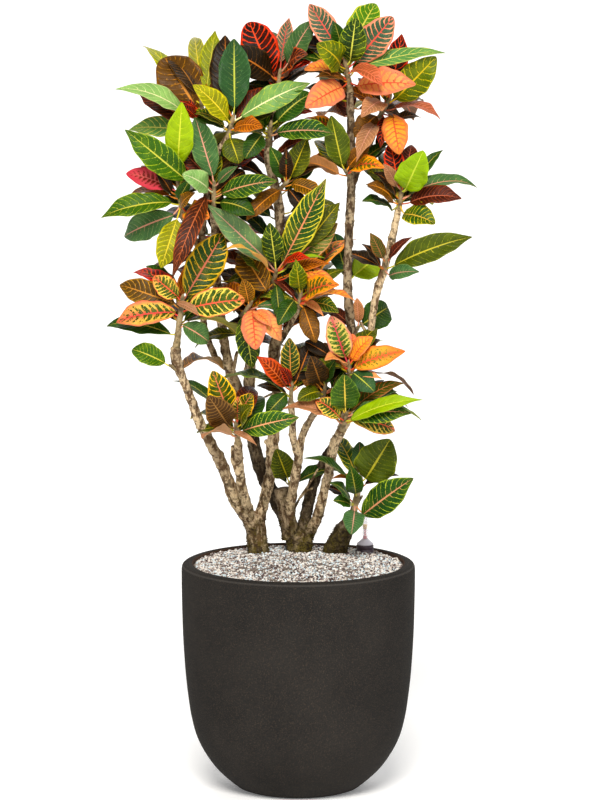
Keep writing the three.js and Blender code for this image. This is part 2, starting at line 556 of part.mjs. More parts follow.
function backLeaves(head, number) {
  const middle = place(...head.shoot[0].slice(0, 3)).lerp(place(...head.shoot[1].slice(0, 3)), 0.6)
  const leaves = []
  for (let i = 0; i < head.backs; i += 1) {
    const turn = (number * goldenAngle + i * 2.1) % (Math.PI * 0.8) + Math.PI * 0.1
    const rise = 0.15 + 0.55 * Math.sin(number * 1.7 + i * 2.3)
    const way = new THREE.Vector3(Math.cos(turn), Math.sin(turn), rise).normalize()
    const length = backLength + 7 * ((number + 2 * i) % 4)
    const width = backWidth + 4 * (i % 3)
    const foot = middle.clone().addScaledVector(way, backStalk)
    const tip = foot.clone().addScaledVector(way, length)
    leaves.push({ ...leafFrom(head.shoot, foot, tip, width, upward.clone(), backArch, number + i),
      bend: upward.clone() })
  }
  return leaves
}

function boxed(solids) {
  return solids.map((solid) => ({ solid, box: solid.boundingBox() }))
}

function boxesMeet(a, b) {
  return [0, 1, 2].every((k) => a.min[k] <= b.max[k] && b.min[k] <= a.max[k])
}

function sharedVolume(solid, others) {
  const box = solid.boundingBox()
  let volume = 0
  for (const other of others) {
    if (boxesMeet(box, other.box)) volume += solid.intersect(other.solid).volume()
  }
  return volume
}

// A leaf whose own line would cross a neighbour is bent clear of it: its tip is moved in
// small steps, and the first step that leaves the blade free is kept.
const bendSteps = [0, 12, -12, 24, -24, 36, -36, 50, -50, 66, -66, 84, -84]
const bladeMargin = 0.25      // kept free round a blade
const shootMargin = 0.3       // and round a shoot
const clearEnough = 1e-6

function bentClear(leaf, own, others, wood) {
  let best = null
  for (const step of bendSteps) {
    const bent = { ...leaf, tip: leaf.tip.clone().addScaledVector(leaf.bend, step) }
    const blade = bladeSolid(bent, { grow: bladeMargin, bladeOnly: true })
    const whole = bladeSolid(bent, { grow: bladeMargin, open: true })
    const cost = (sharedVolume(whole, others) + sharedVolume(blade, wood)) * 1000 + sharedVolume(blade, own)
    if (best === null || cost < best.cost) best = { cost, leaf: bent, blade, whole }
    if (cost < clearEnough) break
  }
  return best
}

function headSolids(woodGrown) {
  const placed = []
  const solids = {}
  const wood = boxed([...woodGrown, planterSolid(), granulesSolid()])
  const shoots = boxed(heads.map((head) => limbSolid(head.shoot, shootMargin)))
  heads.forEach((head, number) => {
    const own = []
    const around = []
    const blades = []
    const others = [...placed, ...shoots.filter((_, i) => i !== number)]
    for (const leaf of [...tableLeaves(head), ...backLeaves(head, number)]) {
      const { leaf: bent, blade, whole } = bentClear(leaf, own, others, wood)
      own.push(...boxed([blade]))
      around.push(...boxed([whole]))
      blades.push(bladeSolid(bent))
    }
    placed.push(...around)
    let whole = joined([limbSolid(head.shoot), ...blades])
    for (const grown of woodGrown) whole = whole.subtract(grown)
    solids[head.name] = largestBody(whole)
  })
  return solids
}

// ---- finishes ----
const finishes = {
  planter: { color: 0x32302d, roughness: 0.85 },
  granules: { color: 0xa39a90, roughness: 0.9 },
  gauge_shaft: { color: 0x3a3340, roughness: 0.45 },
  gauge_tube: { color: 0xe6ebea, roughness: 0.1 },
  gauge_float: { color: 0xb5241c, roughness: 0.4 },
  gauge_pointer: { color: 0xe3bd2a, roughness: 0.4 },
  wood: { color: 0x8a765c, roughness: 0.9 },
  leaf: { color: 0x5d6b2c, roughness: 0.4 },
}

function finishOf(name) {
  if (name.startsWith('trunk')) return finishes.wood
  return finishes[name] ?? finishes.leaf
}

// ---- the plant in its pot ----
const woodNames = Object.keys(limbs)
const woodGrown = woodNames.map((name) => woodSolid(name, seatGap))
const gauge = gaugeSolids()
const gaugeHole = toSolid(turned([[0, shaftFoot - seatGap], [shaftRadius + seatGap, shaftFoot - seatGap],
  [shaftRadius + seatGap, tubeTop], [0, tubeTop]], gaugeSides)).translate([gaugeX, gaugeY, 0])

// A trunk's hole in the granules ends in a round floor, a little wider than the trunk's foot.
const floorMargin = 1
const floorDepth = 4
const floorSides = 12
const holeFloors = woodNames.map((name) => {
  const [x, y, seen, wide] = limbs[name][0][0]
  const radius = wide / 2 + floorMargin
  const spot = place(x, y, seen)
  const floor = new THREE.CylinderGeometry(radius, radius, floorDepth, floorSides).rotateX(Math.PI / 2)
  return toSolid(floor.translate(spot.x, spot.y, spot.z + floorMargin))
})
let fill = granulesSolid()
for (const hole of [gaugeHole, ...woodGrown, ...holeFloors]) fill = fill.subtract(hole)

const solids = {
  planter: planterSolid(),
  granules: largestBody(fill),
  ...gauge,
  ...Object.fromEntries(woodNames.map((name) => [name, largestBody(woodSolid(name))])),
  ...headSolids(woodGrown),
}

const plant = new THREE.Group()
for (const [name, solid] of Object.entries(solids)) {
  const mesh = new THREE.Mesh(toGeometry(solid), new THREE.MeshStandardMaterial(finishOf(name)))
  mesh.name = name
  plant.add(mesh)
}

export default plant
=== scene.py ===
import math
import random
import bmesh
import bpy
from mathutils import Matrix, Vector, noise
from mathutils.kdtree import KDTree


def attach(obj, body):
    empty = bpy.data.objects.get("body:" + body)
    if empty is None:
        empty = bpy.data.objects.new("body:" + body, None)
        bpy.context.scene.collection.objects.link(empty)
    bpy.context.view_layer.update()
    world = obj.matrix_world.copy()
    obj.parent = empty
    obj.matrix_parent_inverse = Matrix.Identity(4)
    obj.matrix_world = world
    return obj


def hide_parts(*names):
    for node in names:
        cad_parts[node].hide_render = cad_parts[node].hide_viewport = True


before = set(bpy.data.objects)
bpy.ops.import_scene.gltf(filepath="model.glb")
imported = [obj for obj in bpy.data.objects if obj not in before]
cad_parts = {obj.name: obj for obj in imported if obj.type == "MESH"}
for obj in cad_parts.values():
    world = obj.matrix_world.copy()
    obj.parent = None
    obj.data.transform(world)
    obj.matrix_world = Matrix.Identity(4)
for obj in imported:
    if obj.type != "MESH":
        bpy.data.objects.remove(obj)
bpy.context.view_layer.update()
mm = 0.001

# camera
view = {"target": (0.00312, 0.0, 0.727), "away": 14.0, "elevation": 9.3, "lens": 342.8, "sensor": 36.0,
        "clip": 60.0}


def makeCamera():
    data = bpy.data.cameras.new("camera")
    data.sensor_fit = "VERTICAL"
    data.sensor_height = view["sensor"]
    data.lens = view["lens"]
    data.clip_end = view["clip"]
    camera = bpy.data.objects.new("camera", data)
    bpy.context.collection.objects.link(camera)
    tilt = math.radians(view["elevation"])
    out = Vector((0, -math.cos(tilt), math.sin(tilt)))
    camera.location = Vector(view["target"]) + out * view["away"]
    camera.rotation_euler = (-out).to_track_quat("-Z", "Y").to_euler()
    bpy.context.scene.camera = camera


# shader expressions
class Wire:
    # one output socket; arithmetic on it adds Math nodes
    def __init__(self, sheet, socket):
        self.sheet = sheet
        self.socket = socket

    def __add__(self, other):
        return self.sheet.maths("ADD", self, other)

    def __radd__(self, other):
        return self.sheet.maths("ADD", other, self)

    def __sub__(self, other):
        return self.sheet.maths("SUBTRACT", self, other)

    def __rsub__(self, other):
        return self.sheet.maths("SUBTRACT", other, self)

    def __mul__(self, other):
        return self.sheet.maths("MULTIPLY", self, other)

    def __rmul__(self, other):
        return self.sheet.maths("MULTIPLY", other, self)

    def __pow__(self, other):
        return self.sheet.maths("POWER", self, other)

    def __gt__(self, other):
        return self.sheet.maths("GREATER_THAN", self, other)

    def __abs__(self):
        return self.sheet.maths("ABSOLUTE", self)

    def fraction(self):
        return self.sheet.maths("FRACT", self)

    def clamped(self):
        return self.sheet.maths("MULTIPLY", self, 1.0, clamp=True)

    def most(self, other):
        return self.sheet.maths("MAXIMUM", self, other)

    def softLeast(self, other, blend):
        return self.sheet.node("ShaderNodeMath", {"operation": "SMOOTH_MIN"}, {0: self, 1: other, 2: blend})

    def step(self, low, high):
        # 0 below low, 1 above high, smooth between
        return self.sheet.node("ShaderNodeMapRange", {"interpolation_type": "SMOOTHSTEP"},
                               {"Value": self, "From Min": low, "From Max": high})

    def parts(self):
        split = self.sheet.node("ShaderNodeSeparateXYZ", {}, {0: self})
        return [Wire(self.sheet, socket) for socket in split.socket.node.outputs]


class Sheet:
    # the node tree of one material
    def __init__(self, name):
        self.material = bpy.data.materials.new(name)
        self.material.use_nodes = True
        self.tree = self.material.node_tree
        self.shader = self.tree.nodes["Principled BSDF"]

    def plug(self, socket, value):
        if isinstance(value, Wire):
            self.tree.links.new(value.socket, socket)
        else:
            socket.default_value = value

    def node(self, kind, settings, sockets, out=0):
        made = self.tree.nodes.new(kind)
        for key, value in settings.items():
            if key == "stops":
                ramp = made.color_ramp
                ramp.interpolation = "CONSTANT"
                while len(ramp.elements) < len(value):
                    ramp.elements.new(0.5)
                for element, (position, colour) in zip(ramp.elements, value):
                    element.position = position
                    element.color = colour
            else:
                setattr(made, key, value)
        for key, value in sockets.items():
            self.plug(made.inputs[key], value)
        return Wire(self, made.outputs[out])

    def maths(self, operation, first, second=0.0, clamp=False):
        settings = {"operation": operation, "use_clamp": clamp}
        return self.node("ShaderNodeMath", settings, {0: first, 1: second})

    def mixed(self, factor, first, second):
        return self.node("ShaderNodeMix", {"data_type": "RGBA"}, {0: factor, 6: first, 7: second}, out=2)

    def tuned(self, colour, value, saturation=1.0):
        sockets = {"Saturation": saturation, "Value": value, "Color": colour}
        return self.node("ShaderNodeHueSaturation", {}, sockets)

    def noise(self, place, scale, detail=2.0, roughness=0.5):
        sockets = {"Vector": place, "Scale": scale, "Detail": detail, "Roughness": roughness}
        return self.node("ShaderNodeTexNoise", {}, sockets)

    def cells(self, place, scale, feature="F1"):
        return self.node("ShaderNodeTexVoronoi", {"feature": feature}, {"Vector": place, "Scale": scale})

    def place(self):
        return self.node("ShaderNodeTexCoord", {}, {}, out=3)

    def attribute(self, name, out):
        return self.node("ShaderNodeAttribute", {"attribute_name": name}, {}, out=out)

    def bump(self, height, strength, distance):
        return self.node("ShaderNodeBump", {}, {"Height": height, "Strength": strength, "Distance": distance})

    def finish(self, **sockets):
        for key, value in sockets.items():
            self.plug(self.shader.inputs[key.replace("_", " ")], value)
        return self.material


def shade(code):
    # a colour written as six hex digits, made linear
    linear = []
    for i in (0, 2, 4):
        value = int(code[i:i + 2], 16) / 255
        linear.append(value / 12.92 if value <= 0.04045 else ((value + 0.055) / 1.055) ** 2.4)
    return linear + [1.0]


def blended(first, second, share):
    return [a * (1 - share) + b * share for a, b in zip(first, second)]


# places: heights are the ones that line up from the front
eye = {"away": 13816.0, "height": 2989.0}


def placeAt(x, y, seen):
    return Vector((x, y, seen - y * (eye["height"] - seen) / eye["away"]))


def rise(value, start, over):
    # 0 up to start, then a straight climb to 1
    return min(1.0, max(0.0, (value - start) / over))


def onCurve(points, i, t):
    # a soft curve through the points, at share t of the way from point i to the next
    before, a, b, after = [points[max(0, min(len(points) - 1, i + k))] for k in (-1, 0, 1, 2)]
    return 0.5 * (2 * a + (b - before) * t + (2 * before - 5 * a + 4 * b - after) * t * t
                  + (3 * a - before - 3 * b + after) * t ** 3)


def strayed(luck, reach, size=1.0):
    return Vector([luck.uniform(-reach, reach) * size for _ in range(3)])


def toMetres(bm, verts):
    bmesh.ops.transform(bm, matrix=Matrix.Scale(mm, 4), verts=verts)


def joined(part, whole):
    # adds part to whole and frees it
    mesh = bpy.data.meshes.new("part")
    part.to_mesh(mesh)
    part.free()
    whole.from_mesh(mesh)
    bpy.data.meshes.remove(mesh)


def pieceFrom(bm, name, materials, slot, *nodes):
    mesh = bpy.data.meshes.new(name)
    bm.to_mesh(mesh)
    bm.free()
    for polygon in mesh.polygons:
        polygon.use_smooth = True
    piece = bpy.data.objects.new(name, mesh)
    for material in materials:
        mesh.materials.append(material)
    bpy.context.collection.objects.link(piece)
    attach(piece, "root")
    if nodes:
        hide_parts(*nodes)
    return piece


# leaf colours: cell, vein, midrib, margin; then vein width, pairs of veins, how much the net
# breaks into spots, how far the margin's colour reaches in, and how far it runs back from the tip
tones = {
    "plainGreen": ("36600e", "b4c42c", "d2cc4c", "86a42a", 0.07, 10, 0.06, 0.05, 0.0),
    "lime": ("8eae04", "a8c218", "d2dc48", "98b810", 0.05, 9, 0.03, 0.05, 0.0),
    "limeVein": ("4e8614", "dcd840", "e4dc54", "a8c028", 0.17, 10, 0.18, 0.10, 0.0),
    # the next two are darker copies of a green and a brown: painted shade for leaves deep inside the heads
    "paintedShadeGreen": ("14300a", "3e5c14", "8c8434", "1e3c0e", 0.06, 11, 0.10, 0.05, 0.0),
    "paintedShadeBrown": ("2c1e0a", "8a5418", "b07030", "40280e", 0.07, 12, 0.18, 0.05, 0.0),
    "deepGreen": ("204208", "54781a", "b8b048", "2c5412", 0.06, 11, 0.08, 0.05, 0.0),
    "tealGreen": ("2c5228", "4c7640", "c8d050", "3c6a3c", 0.05, 13, 0.05, 0.03, 0.0),
    "darkVein": ("153408", "bcc830", "e0dc58", "2c5414", 0.08, 8, 0.10, 0.04, 0.0),
    "deepYellowRib": ("2a4a0c", "7a9428", "e0c050", "4c7018", 0.05, 10, 0.06, 0.05, 0.0),
    "greyGreen": ("3f6434", "7a9450", "dc9c80", "66803e", 0.06, 12, 0.12, 0.05, 0.0),
    "paleNet": ("5c9044", "dcd860", "e4dc70", "b4c458", 0.14, 10, 0.16, 0.08, 0.0),
    "yellowVein": ("2c5410", "dccc2c", "e0b848", "b4ae24", 0.16, 10, 0.20, 0.10, 0.05),
    "yellowNet": ("23460a", "f2be30", "dc7a58", "e8ac34", 0.23, 10, 0.20, 0.16, 0.05),
    "yellowSpot": ("2c4c0c", "f0d058", "e86048", "ee6c50", 0.32, 9, 0.36, 0.18, 0.3),
    "sunsetSpot": ("2c4c0c", "f0c050", "e85048", "f07858", 0.42, 9, 0.36, 0.42, 0.5),
    "pinkSpot": ("3c6a1c", "f0d868", "e8505a", "f28878", 0.36, 9, 0.36, 0.3, 0.35),
    "pinkNet": ("34563c", "ec9c74", "dc5a4c", "ee8a72", 0.26, 11, 0.22, 0.22, 0.22),
    "pinkMidGreen": ("1c4a0e", "b4c838", "e8a478", "6c8c24", 0.09, 11, 0.14, 0.06, 0.05),
    "greenRust": ("3a4a10", "a4642c", "c87c48", "8a5828", 0.20, 11, 0.24, 0.2, 0.2),
    "orange": ("f8a440", "f07c44", "e05a3c", "f48c50", 0.45, 9, 0.30, 0.30, 0.3),
    "salmon": ("fa9e58", "f28058", "e4583c", "f28660", 0.45, 9, 0.30, 0.40, 0.4),
    "orangeYellow": ("4c5814", "f8a02c", "e4543c", "f4803c", 0.44, 9, 0.36, 0.35, 0.35),
    "red": ("54160a", "e63a20", "f05c34", "dc3024", 0.40, 11, 0.28, 0.3, 0.35),
    "redBlack": ("1c0c06", "e23c18", "ee5028", "c02c12", 0.26, 10, 0.18, 0.15, 0.1),
    "orangeNet": ("281606", "dc6024", "e8743c", "56260c", 0.22, 10, 0.16, 0.06, 0.05),
    "maroon": ("3e160a", "98401c", "c4684a", "6a2010", 0.12, 12, 0.14, 0.1, 0.1),
    "darkBrown": ("603c10", "b8781c", "e89438", "6a3c0e", 0.05, 12, 0.26, 0.05, 0.03),
    "brownNet": ("5a3c0a", "d8942c", "e0923a", "a06a18", 0.13, 11, 0.16, 0.1, 0.1),
    "rust": ("84420e", "e08428", "ea8c34", "c46820", 0.25, 12, 0.26, 0.25, 0.25),
    "olive": ("3e4806", "9c9c1c", "c8b42c", "686a0c", 0.06, 11, 0.08, 0.06, 0.0),
    "oliveVein": ("566c06", "dccc28", "e4c834", "8c981c", 0.10, 8, 0.14, 0.06, 0.0),
    "oliveYellow": ("80840c", "d0c828", "e0cc40", "aca420", 0.12, 10, 0.18, 0.2, 0.2),
    "nearBlack": ("1c1204", "543610", "c87430", "34200a", 0.06, 12, 0.12, 0.05, 0.0),
    "creamRib": ("6a9048", "c8c434", "efe8a4", "84a450", 0.04, 10, 0.14, 0.08, 0.0),
    "pale": ("86ae5c", "c0d286", "e8e4a8", "b4c67c", 0.09, 10, 0.08, 0.1, 0.1),
    "peach": ("eca860", "f0905c", "e0644c", "f4a06c", 0.4, 9, 0.3, 0.4, 0.4),
    "tanPink": ("a8724c", "d49868", "dc9878", "c48058", 0.2, 12, 0.2, 0.2, 0.2),
    "coral": ("b05a38", "e0805c", "e8805c", "dc6848", 0.3, 12, 0.2, 0.3, 0.3),
    "pinkRed": ("8c2a20", "dc4c54", "ee6c64", "e04450", 0.6, 10, 0.3, 0.6, 0.7),
    "brownRed": ("3a1808", "a04a20", "b86038", "5a2410", 0.18, 14, 0.3, 0.1, 0.1),
    "greySpeck": ("648654", "a8b868", "dca088", "b89478", 0.05, 11, 0.16, 0.04, 0.0),
    "denseYellow": ("1e4a10", "e6d844", "e09468", "d4cc3c", 0.20, 15, 0.20, 0.12, 0.05),
    "pinkVein": ("56661f", "dc985a", "e8806c", "d48a56", 0.14, 12, 0.12, 0.08, 0.1),
    "goldFold": ("f0b850", "e8a048", "e07c50", "f4c468", 0.3, 9, 0.2, 0.3, 0.3),
    "deepOlive": ("46540a", "848c20", "c8bc3c", "7c8418", 0.04, 11, 0.08, 0.05, 0.0),
    "orangeSpeck": ("8a7a1c", "f8a83c", "f06040", "f4783c", 0.62, 10, 0.4, 0.4, 0.5),
    "netOrange": ("1c3c10", "c8a83c", "d89048", "b07828", 0.16, 9, 0.2, 0.1, 0.05),
    "orangeRed": ("7a2a10", "e0602c", "f07840", "d84c2c", 0.4, 11, 0.3, 0.4, 0.4),
    "brownStripe": ("4a3010", "8a6430", "a87c44", "6a4818", 0.3, 14, 0.1, 0.05, 0.0),
}
darkFlecked = ["orange", "salmon", "peach"]

# the leafy heads
# shoot: [x, y, seen height, diameter] at its foot and at its tip.
# leaves: blade foot x and seen height, tip x and seen height, width, reach, face, arch, tone.
# small: young and side leaves that only the finished plant has; young: how many more by rule.
heads = [
    {"name": "head_top_left", "slot": "leaf_dark", "shoot": [(-171, -10, 1226, 10), (-178, -16, 1288, 7)],
     "backs": 2, "leaves": [
        (-182, 1256, -245, 1362, 86, 38, 0.8, 0.08, "darkBrown"),
        (-200, 1252, -330, 1311, 42, -22, 0.45, 0.12, "pale"),
        (-200, 1238, -292, 1288, 46, -24, 0.6, 0.12, "maroon"),
        (-190, 1284, -287, 1381, 34, 70, 0.2, 0.03, "oliveYellow"),
        (-168, 1300, -152, 1413, 40, 52, 0.9, 0.05, "oliveYellow"),
        (-176, 1300, -192, 1396, 32, 92, 0.9, 0.08, "oliveYellow"),
        (-196, 1224, -312, 1230, 40, 34, 0.6, 0.08, "paleNet")],
     "small": [
        (-188, 1252, -212, 1272, 20, -40, 0.7, 0.1, "redBlack"),
        (-205, 1266, -262, 1298, 26, 24, 0.6, 0.1, "red")]},
    {"name": "head_upper_left", "slot": "leaf_green", "shoot": [(-129, -35, 1212, 10), (-118, -46, 1252, 7)],
     "backs": 0, "leaves": [
        (-116, 1268, -117, 1395, 58, -18, 0.95, 0.05, "tealGreen"),
        (-128, 1246, -189, 1310, 42, -76, 0.6, 0.1, "oliveYellow"),
        (-104, 1252, 22, 1315, 46, -30, 0.7, 0.12, "creamRib"),
        (-130, 1266, -134, 1405, 60, 42, 0.9, 0.05, "nearBlack"),
        (-118, 1230, -66, 1233, 40, -80, 0.5, 0.14, "rust"),
        (-124, 1212, -108, 1166, 45, -70, 0.7, 0.12, "olive")],
     "small": []},
    {"name": "head_top_middle", "slot": "leaf_dark", "shoot": [(-40, 18, 1282, 10), (-33, 34, 1336, 7)],
     "backs": 3, "leaves": [
        (-50, 1328, -90, 1426, 68, 66, 0.9, 0.08, "redBlack"),
        (-48, 1326, -130, 1376, 55, -18, 0.7, 0.1, "nearBlack"),
        (-32, 1352, -17, 1432, 30, 52, 0.4, 0.05, "pinkNet"),
        (-20, 1348, 28, 1430, 42, 24, 0.6, 0.1, "greyGreen"),
        (-18, 1330, 12, 1368, 50, -64, 0.6, 0.12, "orangeNet"),
        (-16, 1340, 44, 1400, 42, 78, 0.8, 0.1, "red"),
        (-20, 1312, 62, 1332, 28, 0, 0.25, 0.14, "nearBlack")],
     "small": []},
    {"name": "head_upper_middle", "slot": "leaf_green", "shoot": [(-54, -12, 1200, 11), (-50, -40, 1240, 7)],
     "backs": 2, "leaves": [
        (-38, 1244, 22, 1288, 45, -92, 0.6, 0.12, "deepGreen"),
        (-38, 1222, 65, 1222, 42, -62, 0.65, 0.12, "pinkMidGreen"),
        (-66, 1218, -96, 1176, 38, -86, 0.7, 0.12, "deepGreen")],
     "small": []},
    {"name": "sprig_middle", "slot": "leaf_green", "shoot": [(-40, -8, 1110, 10), (-20, -28, 1132, 7)],
     "backs": 0, "leaves": [
        (-14, 1140, 15, 1210, 42, -46, 0.85, 0.06, "olive"),
        (-26, 1140, -50, 1196, 34, -62, 0.7, 0.08, "deepGreen"),
        (-34, 1116, -95, 1062, 34, -66, 0.6, 0.14, "darkBrown")],
     "small": [
        (-22, 1140, -22, 1192, 26, -70, 0.7, 0.08, "nearBlack"),
        (-12, 1128, 42, 1106, 34, -52, 0.6, 0.12, "brownNet"),
        (-18, 1118, 16, 1072, 28, -44, 0.7, 0.12, "nearBlack")]},
    {"name": "head_top_right", "slot": "leaf_green", "shoot": [(95, -4, 1294, 12), (84, -10, 1366, 7)],
     "backs": 3, "leaves": [
        (76, 1372, 20, 1459, 46, 18, 0.9, 0.08, "pinkNet"),
        (90, 1372, 142, 1461, 56, 48, 0.9, 0.08, "limeVein"),
        (94, 1352, 104, 1430, 52, -54, 0.9, 0.08, "darkVein"),
        (104, 1352, 172, 1434, 60, -18, 0.9, 0.08, "pinkNet"),
        (76, 1344, 38, 1384, 54, -96, 0.7, 0.12, "oliveVein"),
        (102, 1340, 268, 1374, 34, -14, 0.45, 0.05, "paleNet"),
        (98, 1338, 152, 1312, 38, -84, 0.45, 0.14, "coral"),
        (108, 1308, 212, 1312, 52, -52, 0.7, 0.12, "salmon"),
        (80, 1306, 15, 1270, 52, -72, 0.75, 0.12, "salmon"),
        (76, 1326, 12, 1340, 36, -38, 0.4, 0.14, "orange")],
     "small": [
        (84, 1318, 32, 1326, 22, -60, 0.5, 0.1, "darkBrown"),
        (84, 1366, 66, 1424, 30, -30, 0.8, 0.08, "deepGreen")]},
    {"name": "sprig_right", "slot": "leaf_green", "shoot": [(97, 0, 1138, 10), (86, -24, 1152, 7)],
     "backs": 0, "leaves": [
        (80, 1162, 60, 1252, 45, -46, 0.9, 0.06, "deepOlive"),
        (74, 1146, 5, 1165, 40, -58, -0.5, 0.1, "rust"),
        (96, 1152, 154, 1160, 38, -92, 0.5, 0.14, "orangeYellow")],
     "small": [
        (90, 1160, 128, 1200, 30, -40, 0.7, 0.1, "darkBrown")]},
    {"name": "head_right_upper", "slot": "leaf_orange", "shoot": [(146, 22, 1244, 11), (168, 20, 1288, 7)],
     "young": 5, "backs": 3, "leaves": [
        (178, 1284, 250, 1360, 60, -12, 0.9, 0.08, "oliveVein"),
        (176, 1268, 260, 1250, 32, -14, 0.3, 0.16, "coral"),
        (172, 1256, 184, 1184, 48, -42, 0.9, 0.1, "orange"),
        (154, 1278, 116, 1254, 40, -66, 0.6, 0.14, "tanPink"),
        (142, 1256, 104, 1220, 42, 24, 0.7, 0.12, "darkBrown"),
        (142, 1240, 106, 1185, 34, -14, 0.5, 0.1, "tanPink"),
        (170, 1298, 190, 1405, 42, 70, 0.9, 0.06, "redBlack")],
     "small": [
        (158, 1250, 150, 1196, 24, -30, 0.6, 0.1, "redBlack"),
        (168, 1290, 150, 1330, 30, -20, 0.7, 0.1, "salmon")]},
    {"name": "head_right_middle", "slot": "leaf_green", "shoot": [(183, -20, 1078, 11), (189, -28, 1120, 7)],
     "backs": 3, "leaves": [
        (196, 1118, 226, 1186, 58, -86, 0.85, 0.08, "lime"),
        (182, 1126, 168, 1206, 38, -4, 0.6, 0.06, "redBlack"),
        (194, 1128, 208, 1202, 38, 36, 0.6, 0.08, "maroon"),
        (178, 1106, 140, 1150, 34, -54, 0.4, 0.12, "nearBlack"),
        (174, 1094, 128, 1126, 36, -86, 0.5, 0.14, "darkBrown"),
        (172, 1078, 118, 1098, 36, -60, 0.35, 0.14, "deepGreen"),
        (204, 1094, 296, 1103, 42, -60, 0.55, 0.14, "maroon"),
        (192, 1072, 248, 1054, 46, -86, 0.6, 0.12, "yellowVein"),
        (202, 1108, 328, 1126, 36, 4, 0.35, 0.14, "greyGreen")],
     "small": [
        (206, 1122, 264, 1192, 24, 0, 0.5, 0.1, "deepGreen"),
        (180, 1124, 156, 1164, 24, -60, 0.7, 0.08, "tanPink"),
        (190, 1118, 200, 1164, 30, -50, 0.8, 0.08, "nearBlack")]},
    {"name": "sprig_right_low", "slot": "leaf_green", "shoot": [(157, -12, 962, 10), (161, -34, 984, 7)],
     "young": 1, "backs": 0, "leaves": [
        (176, 978, 316, 1031, 50, -56, 0.7, 0.12, "deepOlive"),
        (166, 958, 218, 966, 30, -90, 0.7, 0.12, "greyGreen"),
        (154, 990, 132, 1036, 26, -62, 0.7, 0.1, "greenRust"),
        (150, 976, 118, 1018, 24, -36, 0.3, 0.1, "nearBlack")],
     "small": [
        (164, 988, 206, 1030, 18, -60, 0.5, 0.1, "maroon")]},
    {"name": "sprig_tall_low", "slot": "leaf_green", "shoot": [(100, 24, 846, 10), (110, 34, 862, 7)],
     "young": 1, "backs": 0, "leaves": [
        (118, 868, 166, 900, 55, 66, 0.85, 0.1, "deepGreen")],
     "small": [
        (112, 868, 108, 916, 22, 30, 0.6, 0.1, "tanPink")]},
    {"name": "sprig_tall_high", "slot": "leaf_green", "shoot": [(91, 11, 936, 10), (94, 34, 952, 7)],
     "young": 1, "backs": 1, "leaves": [
        (102, 958, 144, 992, 55, 66, 0.85, 0.1, "lime"),
        (88, 962, 66, 1036, 42, 62, 0.9, 0.08, "tealGreen")],
     "small": []},
    {"name": "head_left_outer", "slot": "leaf_green", "shoot": [(-211, -12, 1064, 11), (-222, -24, 1146, 7)],
     "backs": 2, "leaves": [
        (-232, 1094, -360, 1068, 44, -42, 0.6, 0.12, "plainGreen"),
        (-236, 1122, -314, 1148, 40, -24, 0.65, 0.12, "pinkRed"),
        (-236, 1108, -314, 1104, 34, 22, 0.35, 0.14, "rust"),
        (-228, 1070, -322, 1030, 52, 26, 0.75, 0.12, "greyGreen"),
        (-222, 1062, -250, 973, 46, -60, 0.85, 0.08, "oliveYellow"),
        (-206, 1076, -164, 1066, 42, -88, 0.65, 0.14, "orangeYellow"),
        (-220, 1162, -212, 1276, 52, -66, 0.95, 0.05, "lime"),
        (-206, 1136, -314, 1228, 54, -44, 0.85, 0.08, "plainGreen")],
     "small": [
        (-218, 1098, -198, 1134, 24, -50, 0.7, 0.1, "deepGreen"),
        (-232, 1112, -258, 1150, 22, -44, 0.6, 0.1, "nearBlack"),
        (-216, 1084, -190, 1112, 24, -70, 0.6, 0.1, "brownNet")]},
    {"name": "head_left_inner", "slot": "leaf_green", "shoot": [(-155, -33, 1080, 11), (-153, -44, 1128, 7)],
     "backs": 2, "leaves": [
        (-156, 1142, -188, 1250, 48, -36, 0.9, 0.06, "greyGreen"),
        (-164, 1118, -208, 1146, 40, -88, 0.65, 0.12, "pale"),
        (-142, 1118, -98, 1152, 38, -28, 0.6, 0.12, "nearBlack"),
        (-140, 1110, -40, 1134, 42, -76, 0.7, 0.12, "pinkMidGreen"),
        (-142, 1094, -80, 1072, 42, -92, 0.6, 0.14, "deepGreen"),
        (-168, 1104, -230, 962, 38, -66, 0.7, 0.2, "brownRed")],
     "small": [
        (-148, 1128, -112, 1160, 20, -70, 0.6, 0.1, "greyGreen")]},
    {"name": "head_centre", "slot": "leaf_green", "shoot": [(-48, 12, 934, 11), (-40, -34, 968, 7)],
     "backs": 2, "leaves": [
        (-54, 984, -166, 1092, 46, -30, 0.85, 0.08, "greySpeck"),
        (-42, 982, -52, 1054, 40, -62, 0.9, 0.06, "darkVein"),
        (-28, 982, 50, 1136, 56, -62, 0.9, 0.06, "denseYellow"),
        (-56, 972, -134, 1020, 32, -72, 0.25, 0.12, "goldFold"),
        (-58, 930, -108, 1010, 58, 28, 0.9, 0.08, "brownNet"),
        (-24, 954, 66, 950, 36, -76, 0.3, 0.14, "orange"),
        (-20, 974, 72, 1056, 50, -8, 0.8, 0.08, "pinkVein")],
     "small": [
        (-24, 970, 46, 994, 12, -80, 0.4, 0.14, "lime"),
        (-28, 974, 20, 992, 26, -84, 0.5, 0.14, "red"),
        (-16, 962, 56, 982, 26, -60, 0.5, 0.14, "rust"),
        (10, 1010, 76, 1094, 40, -10, 0.8, 0.08, "olive"),
        (-40, 940, -34, 876, 26, -60, 0.8, 0.1, "deepGreen")]},
    {"name": "head_centre_low", "slot": "leaf_green", "shoot": [(0, -28, 898, 9), (5, -42, 926, 7)],
     "backs": 2, "leaves": [
        (16, 920, 70, 946, 46, -112, 0.65, 0.12, "orangeYellow"),
        (18, 914, 106, 913, 30, -56, 0.2, 0.14, "orange"),
        (-8, 912, -36, 868, 34, -92, 0.7, 0.12, "deepGreen"),
        (10, 900, 32, 834, 36, -66, 0.85, 0.1, "darkBrown"),
        (16, 906, 74, 888, 34, -86, 0.5, 0.2, "yellowVein"),
        (2, 934, -4, 988, 34, -86, 0.85, 0.08, "oliveVein")],
     "small": [
        (12, 908, 46, 884, 16, -90, 0.5, 0.14, "peach"),
